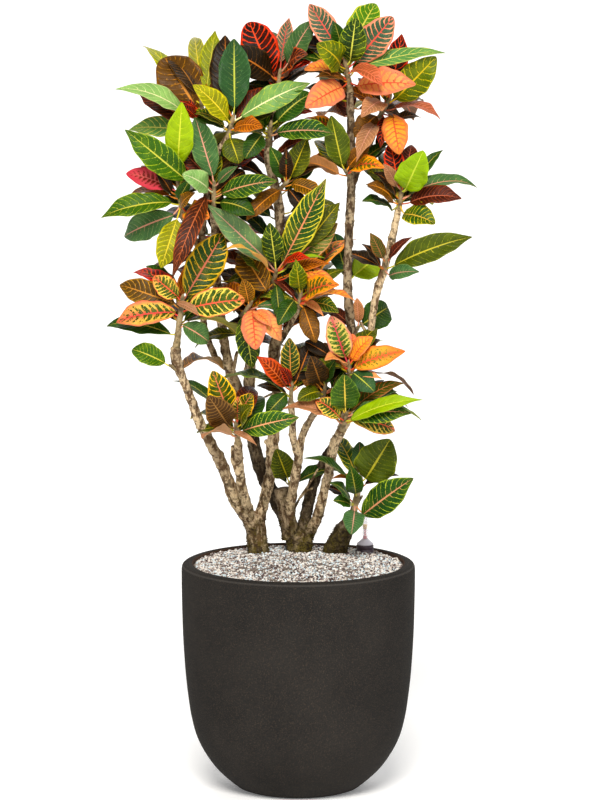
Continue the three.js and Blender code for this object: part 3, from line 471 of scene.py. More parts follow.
        (6, 930, 26, 972, 24, -60, 0.7, 0.1, "deepGreen")]},
    {"name": "head_low_left", "slot": "leaf_green", "shoot": [(-224, -53, 820, 15), (-211, -66, 918, 8)],
     "backs": 2, "leaves": [
        (-224, 890, -333, 873, 48, -64, 0.65, 0.14, "sunsetSpot"),
        (-234, 850, -353, 868, 42, -14, 0.5, 0.12, "deepGreen"),
        (-226, 906, -328, 942, 50, -30, 0.8, 0.1, "brownNet"),
        (-218, 918, -264, 956, 40, -72, 0.75, 0.1, "yellowSpot"),
        (-216, 924, -304, 968, 34, 20, 0.4, 0.12, "red"),
        (-204, 922, -137, 1036, 68, -24, 0.95, 0.05, "yellowNet"),
        (-200, 898, -98, 914, 54, -72, 0.75, 0.12, "yellowSpot"),
        (-210, 866, -164, 836, 40, -56, 0.7, 0.12, "greyGreen")],
     "small": [
        (-222, 910, -182, 996, 26, 10, 0.6, 0.1, "rust"),
        (-222, 908, -180, 886, 18, -100, 0.5, 0.1, "tanPink")]},
    {"name": "sprig_low_left", "slot": "leaf_green", "shoot": [(-216, -46, 778, 9), (-232, -54, 790, 7)],
     "young": 0, "backs": 1, "leaves": [
        (-244, 796, -304, 822, 40, -44, 0.7, 0.12, "plainGreen")],
     "small": []},
    {"name": "head_mid_left", "slot": "leaf_orange", "shoot": [(-101, -8, 884, 11), (-86, -34, 908, 7)],
     "backs": 1, "leaves": [
        (-84, 894, -78, 822, 46, -76, 0.85, 0.12, "salmon"),
        (-76, 894, -32, 838, 36, -58, 0.6, 0.14, "peach"),
        (-100, 884, -84, 786, 44, -34, 0.85, 0.1, "darkVein"),
        (-74, 902, 30, 874, 32, 0, 0.5, 0.12, "greyGreen")],
     "small": [
        (-90, 906, -100, 950, 30, -50, 0.7, 0.1, "brownNet"),
        (-80, 890, -50, 866, 24, -80, 0.6, 0.12, "salmon")]},
    {"name": "head_low_middle", "slot": "leaf_green", "shoot": [(-14, -23, 720, 10), (-12, -40, 756, 7)],
     "backs": 2, "leaves": [
        (-24, 752, -74, 808, 34, -60, 0.6, 0.12, "orangeRed"),
        (-14, 768, -16, 842, 36, -46, 0.6, 0.06, "netOrange"),
        (-4, 762, 22, 830, 46, -18, 0.85, 0.08, "nearBlack"),
        (-22, 738, -58, 700, 34, -60, 0.7, 0.14, "deepGreen")],
     "small": [
        (-16, 756, -34, 788, 22, -76, 0.6, 0.1, "redBlack")]},
    {"name": "head_low_middle_right", "slot": "leaf_dark", "shoot": [(43, -22, 719, 10), (50, -40, 756, 7)],
     "backs": 1, "leaves": [
        # the two brown leaves below take the darker brown copy: painted shade
        (40, 760, 24, 806, 44, -90, 0.85, 0.08, "paintedShadeBrown"),
        (52, 770, 48, 834, 40, -26, 0.9, 0.06, "paintedShadeBrown"),
        (40, 742, 0, 728, 34, -86, 0.6, 0.14, "olive")],
     "small": [
        (46, 762, 66, 800, 26, -70, 0.7, 0.1, "deepGreen"),
        (54, 812, 12, 836, 26, -30, 0.7, 0.1, "nearBlack"),
        (46, 764, 30, 820, 34, -14, 0.85, 0.08, "nearBlack"),
        (40, 750, 8, 780, 34, -30, 0.7, 0.1, "darkBrown"),
        (54, 800, 84, 850, 30, -10, 0.8, 0.08, "nearBlack")]},
    {"name": "head_orange", "slot": "leaf_orange", "shoot": [(94, -45, 758, 10), (92, -58, 796, 7)],
     "backs": 1, "leaves": [
        (86, 806, 60, 882, 46, -72, 0.9, 0.08, "pinkSpot"),
        (98, 800, 134, 844, 36, -76, 0.5, 0.12, "orange"),
        (102, 788, 194, 819, 42, -82, 0.65, 0.12, "orangeSpeck"),
        (84, 790, 50, 806, 34, -112, 0.4, 0.14, "peach"),
        (100, 778, 138, 744, 42, -98, 0.75, 0.12, "tealGreen")],
     "small": [
        (94, 802, 100, 850, 26, -50, 0.8, 0.08, "salmon"),
        (108, 770, 152, 768, 16, -90, 0.5, 0.14, "peach")]},
    {"name": "head_low_right", "slot": "leaf_green", "shoot": [(80, -20, 672, 13), (88, -64, 702, 8)],
     "young": 4, "backs": 1, "leaves": [
        (86, 712, 84, 772, 54, -102, 0.9, 0.08, "deepYellowRib"),
        (96, 690, 224, 730, 32, -124, 0.6, 0.12, "lime"),
        (98, 690, 180, 656, 40, -112, 0.65, 0.14, "yellowSpot"),
        (76, 694, 32, 722, 38, -108, 0.55, 0.14, "yellowSpot"),
        (102, 696, 204, 708, 46, -84, 0.65, 0.14, "pinkMidGreen"),
        (96, 706, 194, 758, 34, -52, 0.4, 0.12, "greenRust"),
        (74, 688, -28, 714, 36, -74, 0.35, 0.14, "tanPink")],
     "small": [
        (100, 702, 184, 714, 24, -96, 0.5, 0.12, "greyGreen"),
        (100, 710, 182, 746, 22, -40, 0.5, 0.12, "tealGreen"),
        (84, 704, 62, 748, 26, -80, 0.8, 0.08, "yellowVein")]},
    {"name": "head_base_right", "slot": "leaf_green", "shoot": [(100, 42, 512, 15), (115, 30, 580, 9)],
     "young": 3, "backs": 0, "leaves": [
        (124, 580, 168, 652, 76, 0, 0.9, 0.08, "deepOlive"),
        (114, 592, 113, 650, 30, 58, 0.4, 0.06, "greyGreen"),
        (106, 552, 96, 604, 34, -40, 0.75, 0.1, "deepGreen"),
        (96, 536, 60, 572, 32, -20, 0.4, 0.12, "deepGreen"),
        (118, 512, 208, 580, 58, -34, 0.75, 0.06, "pinkMidGreen"),
        (104, 520, 98, 478, 40, -28, 0.85, 0.12, "greyGreen"),
        (102, 572, 14, 632, 34, 0, 0.35, 0.06, "deepGreen")],
     "small": [
        (96, 532, 66, 540, 26, 0, 0.6, 0.1, "deepGreen"),
        (106, 580, 62, 582, 12, 10, 0.4, 0.1, "orange")]},
    {"name": "head_low_left_inner", "slot": "leaf_green",
     "shoot": [(-110, -38, 644, 13), (-114, -62, 684, 8)], "young": 3, "backs": 2, "leaves": [
        (-124, 694, -156, 780, 50, -76, 0.9, 0.08, "yellowNet"),
        (-128, 680, -162, 732, 56, -122, 0.85, 0.1, "brownStripe"),
        (-122, 662, -176, 663, 40, -112, -0.4, 0.12, "tanPink"),
        (-110, 694, -86, 738, 38, -86, 0.7, 0.1, "yellowNet"),
        (-104, 682, -88, 716, 36, -126, 0.6, 0.1, "olive"),
        (-102, 670, 0, 695, 44, -92, 0.75, 0.12, "pinkMidGreen")],
     "small": [
        (-118, 668, -76, 644, 12, -100, 0.5, 0.1, "tanPink"),
        (-112, 690, -110, 732, 24, -90, 0.7, 0.1, "yellowSpot")]},
    {"name": "sprig_base_middle", "slot": "leaf_green", "shoot": [(-10, 56, 556, 9), (-16, 78, 572, 7)],
     "backs": 0, "leaves": [
        (-20, 582, -40, 638, 45, 76, 0.9, 0.1, "olive")],
     "small": []},
]

# leaves: the blade, its outline, its stalk, how its colours vary, and the bends that a solid leaf may have
leafForm = {"thick": 0.7, "columns": 10, "rowEvery": 3.2, "fewestRows": 14, "tipDroop": 0.05,
            "droopFrom": 0.7, "droopOver": 0.3, "twist": 0.22, "twistFrom": 0.2, "halfFold": 0.2,
            "foldVaries": 0.17, "wave": 0.16, "waves": 9.5, "ruffle": 0.05, "ruffles": 27, "rim": 0.03,
            "rims": 23, "veinLean": 0.16, "veinCurve": 1.5, "quilt": 0.3, "quiltFull": 12, "groove": 0.5,
            "grooveSlim": 9, "grooveFull": 8}
outlineForm = {"lean": 0.92, "foot": 0.72, "tip": 0.56, "slimTip": 0.26, "slimBelow": 0.56, "slimOver": 0.28,
               "drawFrom": 0.74, "drawOver": 0.26, "draw": 0.06, "slimDraw": 0.4, "stalk": 1.5,
               "tipFinal": 0.15}
stalkForm = {"spread": 8, "drop": 0.6, "lowest": 0.3, "highest": 0.92, "shortest": 11, "offAxis": 0.15,
             "footReach": 0.12, "sag": 1.2, "sagAt": (0.35, 0.7), "radii": (2.0, 1.45, 1.4, 0.9), "sides": 8,
             "intoBlade": 0.03}
tintForm = {"lighter": (0.85, 1.15), "warmer": 0.07, "vein": (0.85, 1.15), "flush": (0.7, 1.3),
            "fleck": "2e3c12", "under": "988c64", "underVein": 0.35, "underShare": 0.3}
bendForm = {"steps": (0, 12, -12, 24, -24, 36, -36, 50, -50, 66, -66, 84, -84), "near": 2.0}
colourLayers = ("cellColour", "veinColour", "ribColour", "rimColour", "underColour", "fleckColour")
goldenAngle = 2.39996


def shootEnds(shoot):
    return [placeAt(*end[:3]) for end in shoot]


def seatOn(shoot, foot):
    # where a stalk leaves the shoot, somewhat below the blade's foot
    low, high = shootEnds(shoot)
    away = math.hypot(foot.x - high.x, stalkForm["spread"])
    share = (foot.z - stalkForm["drop"] * away - low.z) / (high.z - low.z)
    return low.lerp(high, min(stalkForm["highest"], max(stalkForm["lowest"], share)))


def leafFrom(shoot, foot, tip, facing, bend, **rest):
    seat = seatOn(shoot, foot)
    stalk = foot - seat
    shortest = stalkForm["shortest"]
    if stalk.length < shortest:
        stalk = (stalk + (tip - seat).normalized() * shortest).normalized() * shortest
    start = seat + stalk.normalized() * shoot[0][3] * stalkForm["offAxis"]
    return {"seat": start, "foot": seat + stalk, "tip": tip, "facing": facing, "bend": bend, **rest}


def tableLeaves(head, rows):
    shootY = head["shoot"][1][1]
    made = []
    for i, (footX, footSeen, tipX, tipSeen, width, reach, face, arch, tone) in enumerate(rows):
        foot = placeAt(footX, shootY + stalkForm["footReach"] * (reach - shootY), footSeen)
        tip = placeAt(tipX, reach, tipSeen)
        facing = Vector((0, -face, 1 - abs(face))).normalized()
        made.append(leafFrom(head["shoot"], foot, tip, facing, Vector((0, 1, 0)), width=width, arch=arch,
                             beat=i * 2.4, tone=tone))
    return made


# large leaves at the back of a head
backForm = {"from": 0.6, "stalk": 18, "rise": 0.15, "riseVaries": 0.55, "shortest": 118, "longer": 7,
            "slimmest": 44, "wider": 4, "arch": 0.13,
            "tones": ("deepGreen", "yellowVein", "plainGreen", "brownNet", "pinkMidGreen", "olive",
                      "orangeYellow", "maroon")}


def backLeaves(head, number):
    middle = Vector.lerp(*shootEnds(head["shoot"]), backForm["from"])
    upward = Vector((0, 0, 1))
    made = []
    for i in range(head["backs"]):
        turn = (number * goldenAngle + i * 2.1) % (math.pi * 0.8) + math.pi * 0.1
        climb = backForm["rise"] + backForm["riseVaries"] * math.sin(number * 1.7 + i * 2.3)
        way = Vector((math.cos(turn), math.sin(turn), climb)).normalized()
        foot = middle + way * backForm["stalk"]
        tip = foot + way * (backForm["shortest"] + backForm["longer"] * ((number + 2 * i) % 4))
        width = backForm["slimmest"] + backForm["wider"] * (i % 3)
        tone = backForm["tones"][(number * 3 + i) % len(backForm["tones"])]
        made.append(leafFrom(head["shoot"], foot, tip, upward, upward, width=width, arch=backForm["arch"],
                             beat=number + i, tone=tone))
    return made


def bentAsBuilt(leaf, corners):
    # the solid's own leaf was bent clear of its neighbours: the bend whose tip the node really has
    tries = []
    for step in bendForm["steps"]:
        gap = corners.find((leaf["tip"] + leaf["bend"] * step) * mm)[2]
        tries.append((gap, abs(step), step))
    gap, _, step = min(tries)
    if gap < bendForm["near"] * mm:
        leaf["tip"] = leaf["tip"] + leaf["bend"] * step
    return leaf


def bladeHalf(leaf, length, t):
    # half the blade's width: wide leaves end bluntly, slim ones in a drawn-out tip
    slim = rise(outlineForm["slimBelow"] - leaf["width"] / length, 0.0, outlineForm["slimOver"])
    power = outlineForm["foot"] if t < 0.5 else outlineForm["tip"] + outlineForm["slimTip"] * slim
    half = 0.5 * math.sin(math.pi * t ** outlineForm["lean"]) ** power if 0 < t < 1 else 0.0
    ease = rise(t, outlineForm["drawFrom"], outlineForm["drawOver"])
    drawn = outlineForm["draw"] + outlineForm["slimDraw"] * slim
    half = half * leaf["width"] * (1 - drawn * ease * ease * (3 - 2 * ease))
    return max(half, outlineForm["stalk"] * (1 - t) ** 3, outlineForm["tipFinal"])


def leafSurface(leaf, length, u, t):
    # the blade's upper face: u runs from one margin to the other, t from its foot to its tip
    foot, tip, beat = leaf["foot"], leaf["tip"], leaf["beat"]
    straight = (tip - foot).normalized()
    upper = (leaf["facing"] - straight * leaf["facing"].dot(straight)).normalized()
    bow = foot.lerp(tip, 0.5) + upper * 2 * leaf["arch"] * length
    middle = foot * (1 - t) ** 2 + bow * 2 * t * (1 - t) + tip * t * t
    droop = rise(t, leafForm["droopFrom"], leafForm["droopOver"]) ** 2
    middle -= upper * (leafForm["tipDroop"] * length * droop)
    along = ((bow - foot) * (1 - t) + (tip - bow) * t).normalized()
    side = along.cross(upper).normalized()
    turn = leafForm["twist"] * math.sin(beat * 1.7 + 0.6) * (t - leafForm["twistFrom"])
    side = Matrix.Rotation(turn, 3, along) @ side
    up = side.cross(along).normalized()
    column = 2 * u - 1
    away = abs(column)
    half = bladeHalf(leaf, length, t)
    # the two halves of a blade don't mirror each other
    shift = 1 if column > 0 else 0
    half *= 1 + leafForm["rim"] * math.sin(t * leafForm["rims"] + beat * 2 + 2 * shift) * away
    fold = leafForm["halfFold"] + leafForm["foldVaries"] * math.sin(beat * 2.3 + 1.0)
    wave = leafForm["wave"] * math.sin(t * leafForm["waves"] + beat + column * 1.3)
    ruffle = leafForm["ruffle"] * away ** 3 * math.sin(t * leafForm["ruffles"] + beat * 3 + 1.7 * shift)
    lift = half * (away * fold + away ** 1.4 * wave + ruffle)
    pair = (t - leafForm["veinLean"] * away ** leafForm["veinCurve"]) * leaf["veins"] + 0.5 * shift
    quilt = leafForm["quilt"] * math.cos(2 * math.pi * pair) * math.sin(math.pi * away)
    lift -= quilt * min(1, half / leafForm["quiltFull"])
    groove = leafForm["groove"] * math.exp(-(column * leafForm["grooveSlim"]) ** 2)
    lift -= groove * min(1, half / leafForm["grooveFull"])
    return (middle + side * (column * half) + up * lift) * mm


def leafLayers(bm):
    layers = bm.verts.layers
    for name in colourLayers:
        layers.float_color.new(name)
    for name in ("leafData", "leafHabit"):
        layers.float_vector.new(name)
    bm.loops.layers.uv.new("leafMap")


def tintLeaf(bm, leaf, luck):
    cell, vein, rib, rim, wide, pairs, spots, rimWide, flush = tones[leaf["tone"]]
    layers = bm.verts.layers
    lighter = luck.uniform(*tintForm["lighter"])
    warmer = luck.uniform(-tintForm["warmer"], tintForm["warmer"])
    colours = {}
    for name, code in zip(colourLayers, (cell, vein, rib, rim)):
        red, green, blue, alpha = shade(code)
        colours[name] = (red * (lighter + warmer), green * lighter, blue * (lighter - warmer), alpha)
    under = blended(shade(cell), shade(vein), tintForm["underVein"])
    colours["underColour"] = blended(under, shade(tintForm["under"]), tintForm["underShare"])
    flecked = leaf["tone"] in darkFlecked
    colours["fleckColour"] = shade(tintForm["fleck"]) if flecked else colours["veinColour"]
    data = Vector((luck.random() * 10, wide * luck.uniform(*tintForm["vein"]), pairs))
    habit = Vector((spots, rimWide, flush * luck.uniform(*tintForm["flush"])))
    for vert in bm.verts:
        for name, colour in colours.items():
            vert[layers.float_color[name]] = colour
        vert[layers.float_vector["leafData"]] = data
        vert[layers.float_vector["leafHabit"]] = habit


def tube(bm, places, radii, sides):
    # a closed tube along places: a capped circle, extruded ring by ring
    last = len(places) - 1
    ways = [(places[min(i + 1, last)] - places[max(i - 1, 0)]).normalized() for i in range(last + 1)]
    side = ways[0].orthogonal().normalized()
    rings = []
    for i, way in enumerate(ways):
        side = ways[max(i - 1, 0)].rotation_difference(way) @ side
        turn = Matrix((side, way.cross(side), way)).transposed().to_4x4()
        rings.append(Matrix.Translation(places[i]) @ turn @ Matrix.Scale(radii[i], 4))
    old = set(bm.faces)
    made = bmesh.ops.create_circle(bm, cap_ends=True, segments=sides, radius=1.0, matrix=rings[0])["verts"]
    edges = list({edge for vert in made for edge in vert.link_edges})
    for before, after in zip(rings, rings[1:]):
        grown = bmesh.ops.extrude_edge_only(bm, edges=edges)["geom"]
        ring = [part for part in grown if isinstance(part, bmesh.types.BMVert)]
        edges = [part for part in grown if isinstance(part, bmesh.types.BMEdge)]
        bmesh.ops.transform(bm, matrix=after @ before.inverted(), verts=ring)
        made += ring
    bmesh.ops.contextual_create(bm, geom=edges)
    faces = list(set(bm.faces) - old)
    bmesh.ops.recalc_face_normals(bm, faces=faces)
    return made, faces


def addStalk(bm, leaf):
    start = leaf["seat"] * mm
    stop = leaf["foot"].lerp(leaf["tip"], stalkForm["intoBlade"]) * mm
    sag = Vector((0, 0, -stalkForm["sag"] * mm))
    route = [start] + [start.lerp(stop, share) + sag for share in stalkForm["sagAt"]] + [stop]
    faces = tube(bm, route, [radius * mm for radius in stalkForm["radii"]], stalkForm["sides"])[1]
    uvLayer = bm.loops.layers.uv["leafMap"]
    for face in faces:
        for loop in face.loops:
            loop[uvLayer].uv = (0.5, 0.1)


def addLeaf(whole, leaf, luck):
    bm = bmesh.new()
    leafLayers(bm)
    uvLayer = bm.loops.layers.uv["leafMap"]
    length = (leaf["tip"] - leaf["foot"]).length
    leaf["veins"] = tones[leaf["tone"]][5]
    rows = max(leafForm["fewestRows"], int(length / leafForm["rowEvery"]))
    bmesh.ops.create_grid(bm, x_segments=leafForm["columns"], y_segments=rows, size=0.5)
    for vert in bm.verts:
        # rows stand closer together towards the tip
        vert.co.y = math.sin((vert.co.y + 0.5) * math.pi / 2)
    for face in bm.faces:
        for loop in face.loops:
            loop[uvLayer].uv = (loop.vert.co.x + 0.5, loop.vert.co.y)
    upper = set(bm.faces)
    for vert in bm.verts:
        vert.co = leafSurface(leaf, length, vert.co.x + 0.5, vert.co.y)
    bm.normal_update()
    bmesh.ops.solidify(bm, geom=list(bm.faces), thickness=leafForm["thick"] * mm)
    for face in bm.faces:
        face.material_index = 0 if face in upper else 1
    addStalk(bm, leaf)
    tintLeaf(bm, leaf, luck)
    joined(bm, whole)


# leaf finish
leafLook = {"saturation": 1.03, "value": 0.86, "netValue": 0.12, "net": 26.0, "bump": 0.0009, "gloss": 0.17}
shootLook = {"pale": "a08a62", "dark": "665634", "scar": "3c2c1a"}


def leafBasis(sheet):
    # the blade's own coordinates and its data: across, along, away from the midrib, seed, vein width, pairs
    across, along, _ = sheet.node("ShaderNodeUVMap", {"uv_map": "leafMap"}, {}).parts()
    seed, wide, pairs = sheet.attribute("leafData", 1).parts()
    return across, along, abs(across - 0.5) * 2.0, seed, wide, pairs


def sideVeins(across, along, away, pairs):
    # counts up by one from each side vein to the next; the two halves alternate
    lean = away ** leafForm["veinCurve"] * leafForm["veinLean"]
    return (along - lean) * pairs + (across > 0.5) * 0.5


def leafSkin():
    sheet = Sheet("leaf_skin")
    across, along, away, seed, wide, pairs = leafBasis(sheet)
    spots, rimWide, flush = sheet.attribute("leafHabit", 1).parts()
    names = [name for name in colourLayers if name != "underColour"]
    cell, vein, rib, rim, flecked = [sheet.attribute(name, 0) for name in names]
    spot = sheet.node("ShaderNodeCombineXYZ", {}, {0: across * 1.1, 1: along * 3.0, 2: seed * 7.3})
    wander = sheet.noise(spot, 3.4, 2.0) - 0.5
    fine = sheet.noise(spot, 19.0, 3.0) - 0.5
    blotch = sheet.noise(spot, 5.5, 2.0) - 0.5
    broad = sheet.noise(spot, 1.5, 2.0)
    # band is 0 on a side vein and 1 midway to the next one
    turn = sideVeins(across, along, away, pairs)
    band = abs((turn + wander * 0.55 + 0.5).fraction() - 0.5) * 2.0
    # the more spotted a leaf, the more its cells are broken up
    broken = sheet.cells(spot, 6.5, "DISTANCE_TO_EDGE") * 2.4 + (0.95 - spots * 1.9)
    near = band.softLeast((1.0 - away) * 2.6, 0.35).softLeast(broken, 0.25) + fine * 0.35
    fromRim = (away + wander * 0.5).step(1.0 - rimWide, 1.05)
    fromTip = (along + wander * 0.4).step(1.0 - flush, 1.05)
    flushed = fromRim.most(fromTip)
    reach = wide * (0.5 + away * away * 0.9) + blotch * spots * 2.0 + flushed * 0.35
    veined = 1.0 - near.step(reach - 0.05, reach + 0.06)
    ground = sheet.mixed(away.step(0.02, 0.5), rib, vein)
    ground = sheet.mixed(flushed, ground, rim)
    deep = sheet.tuned(cell, broad * 0.9 + 0.55 + fine * 0.3)
    deep = sheet.mixed(broad.step(0.48, 0.75) * 0.14, deep, vein)
    colour = sheet.mixed(veined, deep, ground)
    dots = sheet.noise(spot, 44.0, 1.0).step(0.66, 0.72) * 0.5
    flecks = dots.most(sheet.noise(spot, 13.0, 1.0).step(0.71, 0.74))
    colour = sheet.mixed(flecks * 0.9, colour, flecked)
    colour = sheet.mixed(away.step(0.94, 0.985) * 0.7, colour, rim)
    ribHalf = 0.055 - along * 0.035
    ribbed = 1.0 - away.step(ribHalf, ribHalf + 0.025)
    colour = sheet.mixed(ribbed, colour, rib)
    net = sheet.cells(spot, leafLook["net"], "DISTANCE_TO_EDGE").step(0.0, 0.09)
    colour = sheet.tuned(colour, leafLook["value"] + net * leafLook["netValue"], leafLook["saturation"])
    height = near.step(0.0, 0.6) * 0.8 - ribbed + net * 0.12
    return sheet.finish(Base_Color=colour, Roughness=0.38 + fine * 0.2 + veined * 0.08,
                        Specular_IOR_Level=leafLook["gloss"],
                        Normal=sheet.bump(height, 0.6, leafLook["bump"]))


def leafUnderside():
    sheet = Sheet("leaf_underside")
    across, along, away, seed, _, pairs = leafBasis(sheet)
    under = sheet.attribute("underColour", 0)
    rib = sheet.attribute("ribColour", 0)
    spot = sheet.node("ShaderNodeCombineXYZ", {}, {0: across, 1: along * 2.7, 2: seed * 7.3})
    fine = sheet.noise(spot, 9.0, 3.0)
    band = abs((sideVeins(across, along, away, pairs) + 0.5).fraction() - 0.5) * 2.0
    ribMask = 1.0 - away.step(0.05, 0.1)
    veinMask = (1.0 - band.step(0.04, 0.18)) * 0.6
    colour = sheet.mixed((ribMask * 0.9 + veinMask * 0.6).clamped(), under, rib)
    colour = sheet.tuned(colour, 0.8 + fine * 0.4)
    return sheet.finish(Base_Color=colour, Roughness=0.5 + fine * 0.1, Specular_IOR_Level=0.24,
                        Normal=sheet.bump(ribMask + veinMask, 0.4, 0.0008))


def shootSkin():
    sheet = Sheet("shoot_skin")
    spot = sheet.place()
    patch = sheet.noise(spot, 70.0, 4.0, 0.6)
    scar = sheet.cells(spot, 150.0)
    colour = sheet.mixed(patch.step(0.38, 0.62), shade(shootLook["dark"]), shade(shootLook["pale"]))
    colour = sheet.mixed((1.0 - scar.step(0.1, 0.32)) * 0.7, colour, shade(shootLook["scar"]))
    return sheet.finish(Base_Color=colour, Roughness=0.66 + patch * 0.2,
                        Normal=sheet.bump(scar + patch * 0.4, 0.6, 0.001))


# small leaves round the sides and back of a shoot, filling the head between its large ones
youngForm = {"back": 0.2, "backMore": 0.8, "climb": (-0.2, 0.9), "long": (46, 88), "longerBehind": 30,
             "from": (0.35, 0.98), "stalk": 13, "facing": (0, -0.5, 0.8), "slim": (0.32, 0.44),
             "arch": (0.05, 0.16)}
# the darker green and brown copies among these tones paint shade inside the heads
youngTones = {
    "leaf_green": ["paintedShadeGreen", "olive", "paintedShadeBrown", "yellowVein", "nearBlack", "deepGreen", "maroon"],
    "leaf_orange": ["olive", "rust", "maroon", "orangeYellow", "paintedShadeGreen", "paintedShadeBrown"],
    "leaf_dark": ["nearBlack", "paintedShadeBrown", "maroon", "paintedShadeGreen", "redBlack"],
}


def youngLeaves(head, number, luck):
    low, high = shootEnds(head["shoot"])
    made = []
    for i in range(head.get("young", len(head["leaves"]) + head["backs"] + 1)):
        turn = number + i * goldenAngle
        behind = abs(math.sin(turn))
        back = youngForm["back"] + youngForm["backMore"] * behind
        way = Vector((math.cos(turn), back, luck.uniform(*youngForm["climb"]))).normalized()
        length = luck.uniform(*youngForm["long"]) + youngForm["longerBehind"] * behind
        foot = low.lerp(high, luck.uniform(*youngForm["from"])) + way * youngForm["stalk"]
        width = length * luck.uniform(*youngForm["slim"])
        arch = luck.uniform(*youngForm["arch"])
        tone = luck.choice(youngTones[head["slot"]])
        made.append(leafFrom(head["shoot"], foot, foot + way * length, Vector(youngForm["facing"]),
                             Vector((0, 0, 1)), width=width, arch=arch, beat=number + i * 2, tone=tone))
    return made


# leaves along the stems, between the heads: the limb, its stretch by height, their count and colours
stemLeaves = [
    ("trunk_left", 3, 830, 950, 10, "leaf_dark"), ("trunk_left", 3, 960, 1110, 14, "leaf_green"),
    ("trunk_left", 3, 1120, 1265, 13, "leaf_dark"), ("trunk_left", 4, 850, 892, 4, "leaf_dark"),
    ("trunk_middle", 10, 900, 1060, 12, "leaf_green"),
    ("trunk_middle", 11, 1000, 1170, 13, "leaf_dark"), ("trunk_middle", 15, 810, 880, 5, "leaf_green"),
    ("trunk_middle", 3, 1195, 1285, 7, "leaf_orange"), ("trunk_middle", 4, 1165, 1235, 5, "leaf_orange"),
    ("trunk_middle", 6, 725, 752, 3, "leaf_green"),
]
stemForm = {"seed": 41, "back": 0.1, "backMore": 0.9, "climb": (-0.35, 0.5), "stalk": (16, 28),
            "long": (64, 112), "bend": (-0.3, 0.5), "facing": (0, -0.4, 0.9), "slim": (0.34, 0.46),
            "arch": (0.06, 0.15)}


def stemLeaf(spot, number, tone, luck):
    turn = number * goldenAngle
    back = stemForm["back"] + stemForm["backMore"] * abs(math.sin(turn))
    way = Vector((math.cos(turn), back, luck.uniform(*stemForm["climb"]))).normalized()
    foot = spot + way * luck.uniform(*stemForm["stalk"])
    length = luck.uniform(*stemForm["long"])
    tip = foot + (way + Vector((0, 0, luck.uniform(*stemForm["bend"])))).normalized() * length
    width = length * luck.uniform(*stemForm["slim"])
    return {"seat": spot, "foot": foot, "tip": tip, "facing": Vector(stemForm["facing"]), "width": width,
            "arch": luck.uniform(*stemForm["arch"]), "beat": number * 2.0, "tone": tone}


def makeStemLeaves(skins):
    luck = random.Random(stemForm["seed"])
    for slot, colours in youngTones.items():
        bm = bmesh.new()
        leafLayers(bm)
        for name, limb, low, high, count, group in stemLeaves:
            route = [spot for spot in smoothRoute(limbs[name][limb])[0] if low < spot.z < high]
            for i in range(count if group == slot else 0):
                spot = route[int((i + 0.5) / count * len(route))]
                addLeaf(bm, stemLeaf(spot, i + limb, luck.choice(colours), luck), luck)
        pieceFrom(bm, slot.replace("leaf", "stem_leaves"), skins, slot)
    print("leaves along the stems:", sum(row[4] for row in stemLeaves))


# the young shoot, from its foot on the wood to the bud at its tip
shootForm = {"sides": 14, "bud": 7, "shoulder": 0.6, "budEnd": 0.5}


def shootTube(bm, head, number):
    path = [list(end) for end in head["shoot"]]
    middle = [(a + b) / 2 for a, b in zip(*path)]
    route, radii = smoothRoute([path[0], middle, path[1]])
    tip = route[-1] + (route[-1] - route[-2]).normalized() * shootForm["bud"]
    route += [route[-1].lerp(tip, shootForm["shoulder"]), tip]
    radii += [radii[-1] * shootForm["shoulder"], shootForm["budEnd"]]
    sides = shootForm["sides"]
    verts, faces = tube(bm, route, radii, sides)
    # the bud's two rings stay smooth
    knobbed(verts[:-2 * sides], route, radii, sides, Vector((number, 5.2, 0.3)))
    toMetres(bm, verts)
    for face in faces:
        face.material_index = 2


def nodeCorners(name):
    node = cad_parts[name]
    corners = KDTree(len(node.data.vertices))
    for i, vert in enumerate(node.data.vertices):
        corners.insert(vert.co, i)
    corners.balance()
    return corners


def makeHeads():
    skins = [leafSkin(), leafUnderside(), shootSkin()]
    for number, head in enumerate(heads):
        luck = random.Random(number)
        corners = nodeCorners(head["name"])
        leaves = tableLeaves(head, head["leaves"]) + backLeaves(head, number)
        leaves = [bentAsBuilt(leaf, corners) for leaf in leaves] + tableLeaves(head, head["small"])
        leaves += youngLeaves(head, number, luck)
        bm = bmesh.new()
        leafLayers(bm)
        shootTube(bm, head, number)
        for leaf in leaves:
            addLeaf(bm, leaf, luck)
        pieceFrom(bm, head["name"].replace("head", "foliage") + "_fine", skins, head["slot"], head["name"])
    print("leafy heads:", len(heads))
    makeStemLeaves(skins)


